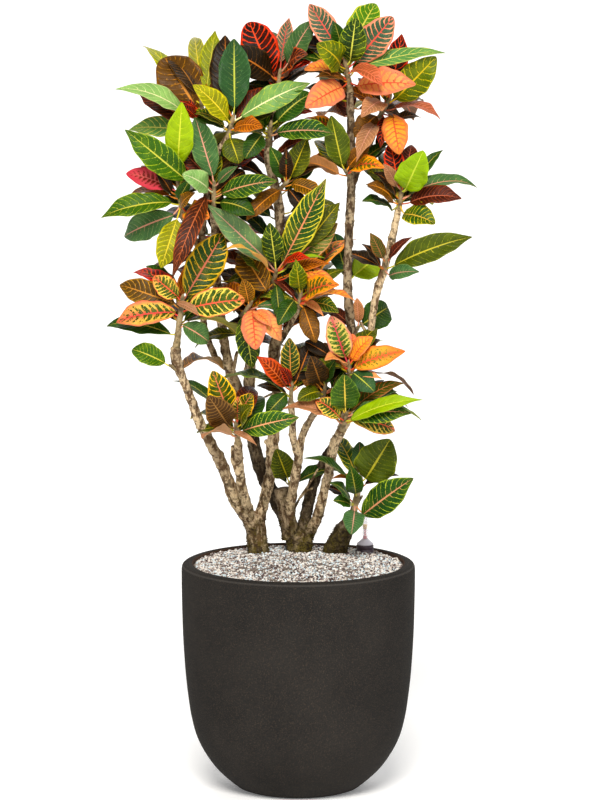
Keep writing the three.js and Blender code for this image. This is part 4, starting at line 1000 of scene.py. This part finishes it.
# wood
limbs = {
    "trunk_left": [
        [(-72, 88, 350, 34), (-72, 86, 420, 38), (-77, 83, 470, 38), (-82, 78, 505, 40)],
        [(-82, 78, 495, 28), (-98, 68, 515, 26), (-118, 50, 545, 24), (-136, 30, 595, 22),
         (-158, 5, 640, 20), (-183, -15, 690, 18), (-197, -28, 730, 17), (-211, -40, 765, 16),
         (-223, -50, 800, 20), (-224, -53, 822, 19)],
        [(-84, 78, 490, 22), (-92, 58, 520, 20), (-103, 30, 560, 18), (-110, 0, 610, 17),
         (-110, -38, 646, 16)],
        [(-76, 80, 492, 22), (-64, 79, 535, 20), (-52, 74, 590, 21), (-48, 66, 640, 24), (-41, 52, 700, 16),
         (-41, 38, 760, 17), (-45, 25, 810, 22), (-40, 19, 850, 16), (-36, 16, 885, 14), (-50, 12, 930, 13),
         (-45, 8, 980, 14), (-36, 0, 1030, 17), (-35, -4, 1080, 18), (-43, -8, 1125, 18),
         (-53, -10, 1165, 16), (-54, -8, 1205, 14), (-46, 5, 1250, 11), (-40, 18, 1284, 10)],
        [(-43, 22, 826, 13), (-25, 5, 850, 12), (-8, -15, 880, 10), (0, -28, 900, 9)],
        [(-48, 66, 640, 10), (-60, 62, 650, 8)],
        [(-110, 4, 590, 9), (-119, -6, 612, 9), (-120, -12, 640, 8)]],
    "trunk_middle": [
        [(2, 92, 350, 42), (2, 91, 420, 46), (0, 90, 475, 44)],
        [(-6, 86, 455, 24), (-15, 72, 520, 20), (-10, 55, 560, 18), (-3, 38, 600, 17), (0, 28, 622, 16),
         (-9, 15, 655, 13), (-11, -5, 695, 12), (-14, -23, 722, 12)],
        [(0, 30, 616, 14), (6, 18, 655, 13), (16, 5, 680, 13), (30, -10, 702, 12), (43, -22, 721, 11)],
        [(4, 92, 458, 26), (18, 100, 530, 22), (30, 100, 575, 20), (50, 96, 620, 16), (72, 88, 655, 14),
         (88, 70, 710, 12), (98, 38, 800, 14), (100, 25, 840, 17), (93, 15, 900, 17), (90, 10, 960, 16),
         (94, 2, 1060, 16), (97, 0, 1140, 16), (95, -4, 1296, 13)],
        [(97, 1, 1125, 14), (108, 7, 1150, 12), (116, 11, 1168, 11), (132, 16, 1205, 11),
         (146, 22, 1246, 11)],
        [(97, -1, 1150, 10), (107, -7, 1172, 8)],
        [(10, 84, 450, 24), (22, 78, 480, 20), (36, 63, 510, 19), (47, 44, 555, 17), (58, 22, 600, 17),
         (66, 0, 645, 17), (80, -20, 675, 14), (88, -34, 715, 11), (94, -45, 760, 10)],
        [(64, 4, 638, 15), (84, 6, 676, 14), (106, 2, 722, 13), (120, 0, 780, 13), (130, -2, 830, 13),
         (137, -5, 890, 13), (146, -8, 935, 15), (157, -11, 968, 14), (168, -14, 1010, 14),
         (183, -20, 1080, 12)],
        [(129, -2, 845, 7), (114, -6, 871, 5)],
        [(-4, 94, 462, 30), (-38, 105, 535, 28), (-62, 105, 580, 26), (-78, 100, 625, 24),
         (-88, 92, 680, 24), (-95, 84, 725, 26)],
        [(-95, 85, 716, 22), (-118, 74, 760, 20), (-130, 64, 800, 18), (-137, 54, 840, 17),
         (-144, 38, 890, 17), (-150, 18, 960, 16), (-152, -10, 1040, 16), (-155, -33, 1082, 13)],
        [(-128, 68, 786, 14), (-150, 64, 802, 12), (-163, 57, 830, 12), (-172, 50, 860, 11),
         (-178, 38, 910, 12), (-177, 18, 1000, 12), (-175, 8, 1055, 13), (-165, -4, 1120, 12),
         (-152, -14, 1180, 12)],
        [(-153, -14, 1172, 11), (-160, -12, 1203, 10), (-171, -10, 1228, 10)],
        [(-153, -13, 1174, 11), (-142, -24, 1195, 10), (-129, -35, 1214, 10)],
        [(-177, 20, 990, 11), (-195, 2, 1040, 11), (-211, -12, 1066, 11)],
        [(-94, 82, 718, 22), (-90, 66, 770, 21), (-88, 45, 810, 18), (-95, 16, 860, 15),
         (-101, -8, 886, 13)],
        [(-122, 72, 776, 8), (-113, 66, 816, 6)],
        [(-14, 90, 470, 28), (-33, 87, 562, 27)]],
    "trunk_right": [
        [(60, 96, 350, 40), (62, 92, 410, 44), (68, 84, 443, 44), (80, 66, 474, 38), (94, 50, 500, 26),
         (100, 42, 514, 18)]],
}

# thin twigs that only the finished plant has
twigs = {
    "trunk_left": [[(-84, 62, 716, 5), (-66, 40, 730, 4), (-45, 30, 740, 4)]],
    "trunk_middle": [[(-12, 78, 516, 5), (4, 70, 546, 4), (20, 60, 570, 4), (36, 52, 598, 3)],
                     [(4, 70, 546, 4), (14, 66, 556, 4), (26, 60, 562, 3)]],
    "trunk_right": [[(96, 46, 500, 6), (108, 44, 530, 5), (118, 36, 548, 4)]],
}
sawn = [limbs["trunk_middle"][-1]]

woodForm = {"ringEvery": 3.0, "sides": 24, "knob": 1.7, "knobEvery": 13, "knobMost": 1.3, "knobFull": 8,
            "grain": 0.9, "grainEvery": 3.5, "scarEvery": 8.0, "scarHeight": 0.8, "scarLong": 2.2,
            "scarWide": 4.0, "scarFull": 7, "thirdScar": 1.8, "flare": 0.22, "flareOver": 14.0,
            "dome": (0.88, 0.72, 0.45), "domeStep": 0.24}
# painted shade: stems at the back are darker, by trunk: from this far back on, over this far, and how much
darkStems = {"trunk_left": (60.0, 32.0, 0.15), "trunk_middle": (60.0, 32.0, 1.0),
             "trunk_right": (10.0, 40.0, 0.95)}
# and these limbs higher up get the same painted shade, from one height to another
darkLimbs = {("trunk_middle", 3): (760.0, 900.0, 0.5), ("trunk_left", 3): (900.0, 1050.0, 0.25)}


def smoothRoute(path):
    # a soft curve through the limb's places, with a ring every few millimetres
    places = [placeAt(*row[:3]) for row in path]
    wides = [row[3] / 2 for row in path]
    route, radii = [], []
    for i in range(len(places) - 1):
        count = max(2, round((places[i + 1] - places[i]).length / woodForm["ringEvery"]))
        for k in range(count + (1 if i == len(places) - 2 else 0)):
            t = k / count
            route.append(onCurve(places, i, t))
            radii.append(wides[i] + (wides[i + 1] - wides[i]) * (t * t * (3 - 2 * t)))
    return route, radii


def grownEnds(route, radii, ends):
    # a branch flares where it leaves its stem, and its end is a dome; a stem's foot and a sawn top stay flat
    away = 0.0
    flare = woodForm["flare"] if "flare" in ends else 0.0
    for i in range(len(route)):
        away += (route[i] - route[max(0, i - 1)]).length
        radii[i] *= 1 + flare * math.exp(-(away / woodForm["flareOver"]) ** 2)
    if "dome" in ends:
        out = (route[-1] - route[-2]).normalized() * radii[-1]
        for share in woodForm["dome"]:
            route.append(route[-1] + out * woodForm["domeStep"])
            radii.append(radii[-1] * share)


def barkRelief(spot, angle, height, radius, seed):
    lump = woodForm["knob"] * noise.noise(spot / woodForm["knobEvery"] + seed)
    lump += woodForm["grain"] * noise.noise(spot / woodForm["grainEvery"] + seed)
    nearest = round(height / woodForm["scarEvery"])
    scar = 0.0
    for k in range(nearest - 2, nearest + 3):
        turn = (angle - k * goldenAngle + math.pi) % (2 * math.pi) - math.pi
        reach = (turn * radius / woodForm["scarWide"]) ** 2
        reach += ((height - k * woodForm["scarEvery"]) / woodForm["scarLong"]) ** 2
        scar += math.exp(-reach) * (1.0 if k % 3 else woodForm["thirdScar"])
    lump *= min(woodForm["knobMost"], radius / woodForm["knobFull"])
    return lump + woodForm["scarHeight"] * scar * min(1.0, radius / woodForm["scarFull"])


def knobbed(verts, route, radii, sides, seed):
    # moves a tube's wall in and out: lumps, grain and the scars where leaves have dropped
    for i, vert in enumerate(verts):
        ring = i // sides
        out = vert.co - route[ring]
        angle = math.atan2(out.y, out.x)
        relief = barkRelief(vert.co.copy(), angle, ring * woodForm["ringEvery"], radii[ring], seed)
        vert.co += out.normalized() * relief


def addLimb(whole, trunk, number, path):
    limb = bmesh.new()
    shadeLayer = limb.verts.layers.float.new("limbShade")
    route, radii = smoothRoute(path)
    grownEnds(route, radii, "dome" if number == 0 else "flare" if path in sawn else "flare dome")
    verts = tube(limb, route, radii, woodForm["sides"])[0]
    knobbed(verts, route, radii, woodForm["sides"], Vector((number * 3.1, 1.7, 0.4)))
    # painted shade kept per vertex in limbShade: stems at the back, and some limbs higher up
    backFrom, backOver, share = darkStems[trunk]
    low, high, upperShare = darkLimbs.get((trunk, number), (0.0, 1.0, 0.0))
    for vert in verts:
        back = rise(vert.co.y, backFrom, backOver) * share
        upper = rise(vert.co.z, low, high - low) * upperShare
        vert[shadeLayer] = max(back, upper)
    joined(limb, whole)


def makeWood():
    bark = barkSkin()
    stems = []
    for name, paths in limbs.items():
        bm = bmesh.new()
        bm.verts.layers.float.new("limbShade")
        for number, path in enumerate(paths + twigs[name]):
            addLimb(bm, name, number, path)
        toMetres(bm, bm.verts)
        stems.append(pieceFrom(bm, name.replace("trunk", "wood"), [bark], "bark", name))
    print("trunks:", len(stems))
    makeMoss(stems)


def barkSkin():
    sheet = Sheet("bark_skin")
    spot = sheet.place()
    _, _, height = spot.parts()
    paintedShade = sheet.attribute("limbShade", 2)
    stretched = sheet.node("ShaderNodeMapping", {}, {"Vector": spot, "Scale": (1.0, 1.0, 0.45)})
    flat = sheet.node("ShaderNodeMapping", {}, {"Vector": spot, "Scale": (1.0, 1.0, 1.8)})
    cloud = sheet.noise(spot, 24.0, 4.0, 0.6)
    mottle = sheet.noise(stretched, 100.0, 5.0, 0.68)
    fibre = sheet.noise(stretched, 420.0, 3.0, 0.6)
    scar = sheet.cells(flat, 85.0)
    patch = sheet.noise(spot, 58.0, 3.0, 0.55)
    colour = sheet.mixed(mottle.step(0.42, 0.56), shade("644c34"), shade("e0c69e"))
    colour = sheet.mixed(cloud.step(0.50, 0.66) * 0.4, colour, shade("947450"))
    colour = sheet.mixed(fibre.step(0.52, 0.72) * 0.35, colour, shade("5c4228"))
    colour = sheet.mixed(patch.step(0.56, 0.63) * 0.8, colour, shade("3c2a16"))
    # painted shade: broad darker bands over the bark
    paintedShadeBand = sheet.noise(spot, 7.0, 2.0, 0.5)
    colour = sheet.mixed(paintedShadeBand.step(0.46, 0.60) * 0.38, colour, shade("57422c"))
    colour = sheet.mixed((1.0 - scar.step(0.12, 0.34)) * 0.55, colour, shade("2a1d11"))
    tuft = sheet.noise(spot, 150.0, 4.0, 0.7)
    green = sheet.mixed(tuft.step(0.40, 0.60), shade("241a08"), shade("5a4e16"))
    lower = 1.0 - (height + cloud * 0.24).step(0.54, 0.74)
    mossy = lower * sheet.noise(spot, 34.0, 4.0, 0.7).step(0.46, 0.58)
    colour = sheet.mixed(mossy * 0.85, colour, green)
    # painted shade: limbShade darkens the bark towards near black
    colour = sheet.mixed(paintedShade * 0.82, colour, shade("1c140c"))
    damp = 1.0 - (height + cloud * 0.10 + tuft * 0.04).step(0.49, 0.56)
    colour = sheet.mixed(damp * 0.9, colour, green)
    relief = fibre * 0.5 + scar.step(0.05, 0.4) * 0.6 + mottle * 1.2 + tuft * damp
    return sheet.finish(Base_Color=colour, Roughness=0.8 + fibre * 0.15, Specular_IOR_Level=0.2,
                        Normal=sheet.bump(relief, 0.9, 0.0022))


# moss on the feet of the stems: tufts, by height and by a slow noise
moss = {"seed": 23, "batches": 25, "batch": 130, "low": 414.0,
        "high": {"wood_left": 500.0, "wood_middle": 520.0, "wood_right": 575.0}, "patchEvery": 17,
        "patchLift": 0.45, "patchFall": 0.9, "long": (1.8, 4.6), "thick": 0.8, "sunk": 0.6, "lean": 0.7,
        "stray": 1.5}


def mossSpots(stems):
    # sorted by their corners, because a stem's faces don't come in the same order each run
    spots = []
    for stem in stems:
        over = moss["high"][stem.name] - moss["low"]
        for polygon in sorted(stem.data.polygons, key=lambda face: sorted(face.vertices)):
            spot = polygon.center / mm
            share = (spot.z - moss["low"]) / over
            patch = noise.noise(spot / moss["patchEvery"]) + moss["patchLift"]
            if 0 < share < 1 and patch > share * moss["patchFall"]:
                spots.append((spot, polygon.normal.copy()))
    return spots


def makeMoss(stems):
    luck = random.Random(moss["seed"])
    spots = mossSpots(stems)
    whole = bmesh.new()
    for _ in range(moss["batches"]):
        bm = bmesh.new()
        for _ in range(moss["batch"]):
            spot, out = luck.choice(spots)
            way = (out + strayed(luck, 1) * moss["lean"]).normalized()
            long = luck.uniform(*moss["long"])
            spot = spot + strayed(luck, moss["stray"])
            matrix = Matrix.Translation(spot + way * (long / 2 - moss["sunk"]))
            matrix = matrix @ way.to_track_quat("Z", "Y").to_matrix().to_4x4()
            bmesh.ops.create_cone(bm, cap_ends=True, segments=3, radius1=moss["thick"], radius2=0.0,
                                  depth=long, matrix=matrix)
        toMetres(bm, bm.verts)
        joined(bm, whole)
    pieceFrom(whole, "moss_tufts", [mossSkin()], "bark")
    print("moss tufts:", moss["batches"] * moss["batch"])


def mossSkin():
    sheet = Sheet("moss_skin")
    spot = sheet.place()
    patch = sheet.noise(spot, 60.0, 3.0, 0.6)
    tuft = sheet.noise(spot, 300.0, 2.0, 0.6)
    colour = sheet.mixed(patch.step(0.42, 0.58), shade("2a1c0c"), shade("504614"))
    colour = sheet.mixed(tuft.step(0.5, 0.66) * 0.55, colour, shade("84782a"))
    return sheet.finish(Base_Color=colour, Roughness=0.9 + tuft * 0.1, Specular_IOR_Level=0.2,
                        Normal=sheet.bump(tuft, 0.4, 0.001))


# planter: the outer profile is soft from one point to another, in so many steps each
planter = {"sides": 160, "floor": 20, "soft": (2, 11, 5),
           "outer": [(96, 0), (100, 0.6), (112, 5), (148, 36), (172, 68), (188, 100), (197.5, 135),
                     (203, 170), (208.5, 220), (213, 290), (215, 360), (215.5, 408), (215.3, 413.5),
                     (214.8, 417), (213.7, 419.4), (211.6, 421.2), (208, 422.8), (203, 423.8),
                     (198, 423.8), (195.4, 422.8), (194, 421.4), (193.5, 420)],
           "inner": [(193.5, 300), (189, 200), (178, 132), (162, 88), (138, 55), (108, 32), (60, 20)]}


def curved(points, start, stop, steps):
    # the profile with soft stretches between its points from start to stop
    spots = [Vector(point) for point in points]
    made = points[:start]
    for i in range(start, stop):
        made += [tuple(onCurve(spots, i, k / steps)) for k in range(steps)]
    return made + points[stop:]


def spun(bm, profile, sides, centre=(0, 0, 0)):
    # a profile of (radius, height) turned once round the upright axis, closed at its poles
    verts = [bm.verts.new((radius, 0, height)) for radius, height in profile]
    edges = [bm.edges.new(pair) for pair in zip(verts, verts[1:])]
    bmesh.ops.spin(bm, geom=verts + edges, axis=(0, 0, 1), cent=(0, 0, 0), steps=sides, angle=2 * math.pi,
                   use_merge=True)
    bmesh.ops.remove_doubles(bm, verts=bm.verts, dist=1e-4)
    bmesh.ops.recalc_face_normals(bm, faces=bm.faces)
    bmesh.ops.transform(bm, matrix=Matrix.Scale(mm, 4) @ Matrix.Translation(centre), verts=bm.verts)


def makePlanter():
    bm = bmesh.new()
    outer = curved(planter["outer"], *planter["soft"])
    spun(bm, [(0, 0)] + outer + planter["inner"] + [(0, planter["floor"])], planter["sides"])
    pieceFrom(bm, "planter_shell", [planterSkin()], "planter", "planter")
    print("planter shell")


def planterSkin():
    sheet = Sheet("planter_skin")
    spot = sheet.place()
    x, y, height = spot.parts()
    grain = sheet.noise(spot, 900.0, 2.0, 0.7)
    cloud = sheet.noise(spot, 7.0, 4.0, 0.6)
    speck = sheet.noise(spot, 900.0, 1.0, 0.4).step(0.61, 0.67)
    dark = sheet.noise(spot, 480.0, 1.0, 0.4).step(0.64, 0.72)
    colour = sheet.mixed(cloud.step(0.3, 0.7), shade("222120"), shade("2a2826"))
    colour = sheet.mixed(speck * 0.32, colour, shade("6e5c48"))
    colour = sheet.mixed(dark * 0.3, colour, shade("100f0e"))
    # the lip's outer edge gets a painted highlight, a thin lighter band; its inner edge by the granules is
    # browner
    lipHighlight = height.step(0.4170, 0.4190) * (1.0 - height.step(0.4200, 0.4215))
    colour = sheet.mixed(lipHighlight * 0.09, colour, shade("8c8680"))
    inner = 1.0 - ((x * x + y * y) ** 0.5).step(0.1950, 0.1975)
    colour = sheet.mixed(inner * height.step(0.4150, 0.4160) * 0.5, colour, shade("4c3220"))
    return sheet.finish(Base_Color=colour, Roughness=0.82 + grain * 0.15 - speck * 0.1,
                        Specular_IOR_Level=0.07, Normal=sheet.bump(grain + cloud * 0.3, 0.35, 0.0006))


# granules: the bed they lie on, and the stones
bed = {"radius": 193.0, "edge": 419.0, "mound": 11.0}
stones = {"seed": 7, "count": 8600, "batch": 140, "radius": 191.0, "wall": 192.6, "size": (1.6, 2.9),
          "stray": 1.4, "drop": (-0.6, 0.35), "turn": 6.28, "broad": (0.65, 1.0), "tall": (0.55, 0.9),
          "chipped": 0.16, "offTrunk": 1.0, "offGauge": 1.5, "offSize": 0.4, "faces": 20}


def fillHeight(x, y):
    away = math.hypot(x, y) / bed["radius"]
    relief = 1.3 * math.sin(x * 0.11 + 0.6) * math.cos(y * 0.13) + 0.9 * math.sin((x + y) * 0.19 + 1.1)
    return bed["edge"] + bed["mound"] * (1 - away ** 2) + relief


def addStone(bm, tint, luck, k, keepOff):
    radius = stones["radius"] * math.sqrt((k + 0.5) / stones["count"])
    x = radius * math.cos(k * goldenAngle) + luck.uniform(-stones["stray"], stones["stray"])
    y = radius * math.sin(k * goldenAngle) + luck.uniform(-stones["stray"], stones["stray"])
    size = luck.uniform(*stones["size"])
    drop = luck.uniform(*stones["drop"]) * size
    turn = Matrix.Rotation(luck.uniform(0, stones["turn"]), 4, luck.choice("XYZ"))
    turn = turn @ Matrix.Rotation(luck.uniform(0, stones["turn"]), 4, "Z")
    broad = size * luck.uniform(*stones["broad"])
    flat = Matrix.Diagonal((size, broad, size * luck.uniform(*stones["tall"]), 1))
    value = luck.random()
    if math.hypot(x, y) > stones["wall"] - size:
        return
    if any(math.hypot(x - spot.x, y - spot.y) < reach + size * stones["offSize"] for spot, reach in keepOff):
        return
    matrix = Matrix.Translation((x, y, fillHeight(x, y) + drop)) @ turn @ flat
    for vert in bmesh.ops.create_icosphere(bm, subdivisions=1, radius=1.0, matrix=matrix)["verts"]:
        vert.co += strayed(luck, stones["chipped"], size)
        vert[tint] = value


def makeGranules():
    luck = random.Random(stones["seed"])
    collars = [paths[0][1] for paths in limbs.values()]
    keepOff = [(placeAt(*collar[:3]), collar[3] / 2 + stones["offTrunk"]) for collar in collars]
    keepOff.append((Vector((gauge["x"], gauge["y"], 0)), gauge["shaftRadius"] + stones["offGauge"]))
    whole = bmesh.new()
    whole.verts.layers.float.new("stoneTint")
    for start in range(0, stones["count"], stones["batch"]):
        bm = bmesh.new()
        tint = bm.verts.layers.float.new("stoneTint")
        for k in range(start, min(start + stones["batch"], stones["count"])):
            addStone(bm, tint, luck, k, keepOff)
        toMetres(bm, bm.verts)
        joined(bm, whole)
    piece = pieceFrom(whole, "stone_granules", [stoneSkin()], "granules")
    for polygon in piece.data.polygons:
        polygon.use_smooth = False
    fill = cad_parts["granules"].data.materials
    fill.clear()
    fill.append(fillSkin())
    print("granules:", len(piece.data.polygons) // stones["faces"])


def stoneSkin():
    sheet = Sheet("stone_skin")
    spot = sheet.place()
    tint = sheet.attribute("stoneTint", 2)
    colour = sheet.node("ShaderNodeValToRGB", {"stops": [
        (0.0, shade("483836")), (0.12, shade("6e5a58")), (0.26, shade("a89a92")), (0.36, shade("ddd3c8")),
        (0.58, shade("efe8e0")), (0.72, shade("c8d8de")), (0.86, shade("e8f2f5")), (0.96, shade("948884"))]},
        {"Fac": tint})
    vary = sheet.noise(spot, 700.0, 3.0, 0.6)
    colour = sheet.tuned(colour, 0.75 + vary * 0.5)
    return sheet.finish(Base_Color=colour, Roughness=0.75 + vary * 0.2, Normal=sheet.bump(vary, 0.5, 0.0008))


def fillSkin():
    sheet = Sheet("fill_skin")
    spot = sheet.place()
    grain = sheet.cells(spot, 190.0)
    colour = sheet.mixed(grain, shade("4a4038"), shade("8a7e72"))
    return sheet.finish(Base_Color=colour, Roughness=0.85 + grain * 0.1, Normal=sheet.bump(grain, 0.8, 0.003))


# water gauge: play is the space left between its pieces
gauge = {"x": 124.0, "y": 115.0, "sides": 40, "shaftRadius": 16.0, "shaftTop": 436.0, "shaftFoot": 220.0,
         "bore": 4.2, "boreFoot": 330.0, "tubeTop": 520.0, "tubeRadius": 5.5, "wall": 1.2, "neck": 11,
         "stem": 1.2, "floatFoot": 444, "pointerFoot": 466.0, "play": 0.35}


def gaugePlastic(name, code, roughness):
    sheet = Sheet(name)
    spot = sheet.place()
    dust = sheet.noise(spot, 90.0, 3.0)
    colour = sheet.mixed(dust.step(0.45, 0.75) * 0.25, shade(code), shade("8a8178"))
    return sheet.finish(Base_Color=colour, Roughness=roughness + dust * 0.15,
                        Normal=sheet.bump(dust, 0.1, 0.0005))


def gaugeClear():
    # nearly clear along the tube, milky on the cone at its foot
    sheet = Sheet("gauge_clear_plastic")
    spot = sheet.place()
    _, _, height = spot.parts()
    dust = sheet.noise(spot, 90.0, 3.0)
    cone = 1.0 - height.step(0.4445, 0.4485)
    return sheet.finish(Base_Color=shade("e4e0ec"), Roughness=0.12 + dust * 0.1,
                        Alpha=0.2 + cone * 0.55 + dust * 0.06)


def shaftProfile():
    top, foot, wide = gauge["shaftTop"], gauge["shaftFoot"], gauge["shaftRadius"]
    bore, boreFoot = gauge["bore"], gauge["boreFoot"]
    return [(0, foot), (wide, foot), (wide, top - 9), (wide - 0.8, top - 8.4), (wide - 0.8, top - 7.4),
            (wide, top - 6.8), (wide, top - 1.2), (wide - 1.2, top), (bore, top), (bore, boreFoot),
            (0, boreFoot)]


def tubeProfile():
    foot, wide = gauge["shaftTop"] + gauge["play"], gauge["shaftRadius"]
    neck, top, outer = foot + gauge["neck"], gauge["tubeTop"], gauge["tubeRadius"]
    inner = outer - gauge["wall"]
    return [(0, top + 3), (2.2, top + 2.7), (4.2, top + 1.6), (outer, top - 0.6), (outer, neck + 1),
            (outer + 1.2, neck - 1.4), (wide - 1.6, foot + 3), (wide - 0.5, foot + 1.2), (wide - 0.5, foot),
            (wide - 2.5, foot), (outer, neck - 2.6), (inner, neck), (inner, top - 0.8), (2.4, top + 0.6),
            (0, top + 1)]


def floatProfile():
    foot, low, stem = gauge["boreFoot"] + gauge["play"], gauge["floatFoot"], gauge["stem"]
    top = gauge["pointerFoot"] - gauge["play"]
    return [(0, foot), (stem, foot), (stem, low - 0.4), (2.8, low), (3.4, low + 0.8), (3.4, low + 7.2),
            (2.8, low + 8), (stem, low + 8.4), (stem, top), (0, top)]


def pointerProfile():
    low = gauge["pointerFoot"]
    return [(0, low), (3.0, low), (3.6, low + 0.7), (3.6, low + 7.3), (3.0, low + 8), (0, low + 8)]


def makeGauge():
    dark = gaugePlastic("gauge_dark_plastic", "3c2c38", 0.42)
    red = gaugePlastic("gauge_red_plastic", "e0281c", 0.35)
    yellow = gaugePlastic("gauge_yellow_plastic", "f2c424", 0.35)
    pieces = [("gauge_base", shaftProfile(), dark, "gauge_dark", "gauge_shaft"),
              ("gauge_glass", tubeProfile(), gaugeClear(), "gauge_clear", "gauge_tube"),
              ("gauge_red_float", floatProfile(), red, "gauge_red", "gauge_float"),
              ("gauge_yellow_pointer", pointerProfile(), yellow, "gauge_yellow", "gauge_pointer")]
    for name, profile, material, slot, node in pieces:
        bm = bmesh.new()
        spun(bm, profile, gauge["sides"], (gauge["x"], gauge["y"], 0))
        pieceFrom(bm, name, [material], slot, node)
    print("water gauge:", len(pieces))


# studio
studio = {"floor": 20.0, "floorGlow": 0.15, "background": 0.29, "lights": {
    "key": {"energy": 3.35, "angle": 22.0, "turn": (48, 0, -3), "colour": (1.0, 0.97, 0.92)},
    "fill": {"energy": 0.5, "angle": 70.0, "turn": (62, 0, 48), "colour": (0.95, 0.97, 1.0)},
    "back": {"energy": 1.2, "angle": 60.0, "turn": (58, 0, 172), "colour": (1.0, 0.98, 0.95)}}}


def makeStudio():
    bm = bmesh.new()
    bmesh.ops.create_grid(bm, x_segments=1, y_segments=1, size=studio["floor"])
    mesh = bpy.data.meshes.new("floor")
    bm.to_mesh(mesh)
    bm.free()
    floor = bpy.data.objects.new("floor", mesh)
    sheet = Sheet("floor_paint")
    mesh.materials.append(sheet.finish(Base_Color=(0.98, 0.98, 0.98, 1), Roughness=0.9,
                                       Emission_Color=(1, 1, 1, 1), Emission_Strength=studio["floorGlow"]))
    bpy.context.collection.objects.link(floor)
    world = bpy.data.worlds.new("studio")
    world.use_nodes = True
    background = world.node_tree.nodes["Background"].inputs
    background["Color"].default_value = (1, 1, 1, 1)
    background["Strength"].default_value = studio["background"]
    bpy.context.scene.world = world
    bpy.context.scene.view_settings.view_transform = "Standard"
    for name, form in studio["lights"].items():
        data = bpy.data.lights.new(name, "SUN")
        data.angle = math.radians(form["angle"])
        data.energy = form["energy"]
        data.color = form["colour"]
        light = bpy.data.objects.new(name, data)
        light.rotation_euler = [math.radians(value) for value in form["turn"]]
        bpy.context.collection.objects.link(light)
    print("studio")


makeCamera()
makeStudio()
makePlanter()
makeGauge()
makeGranules()
makeWood()
makeHeads()

bpy.context.view_layer.update()
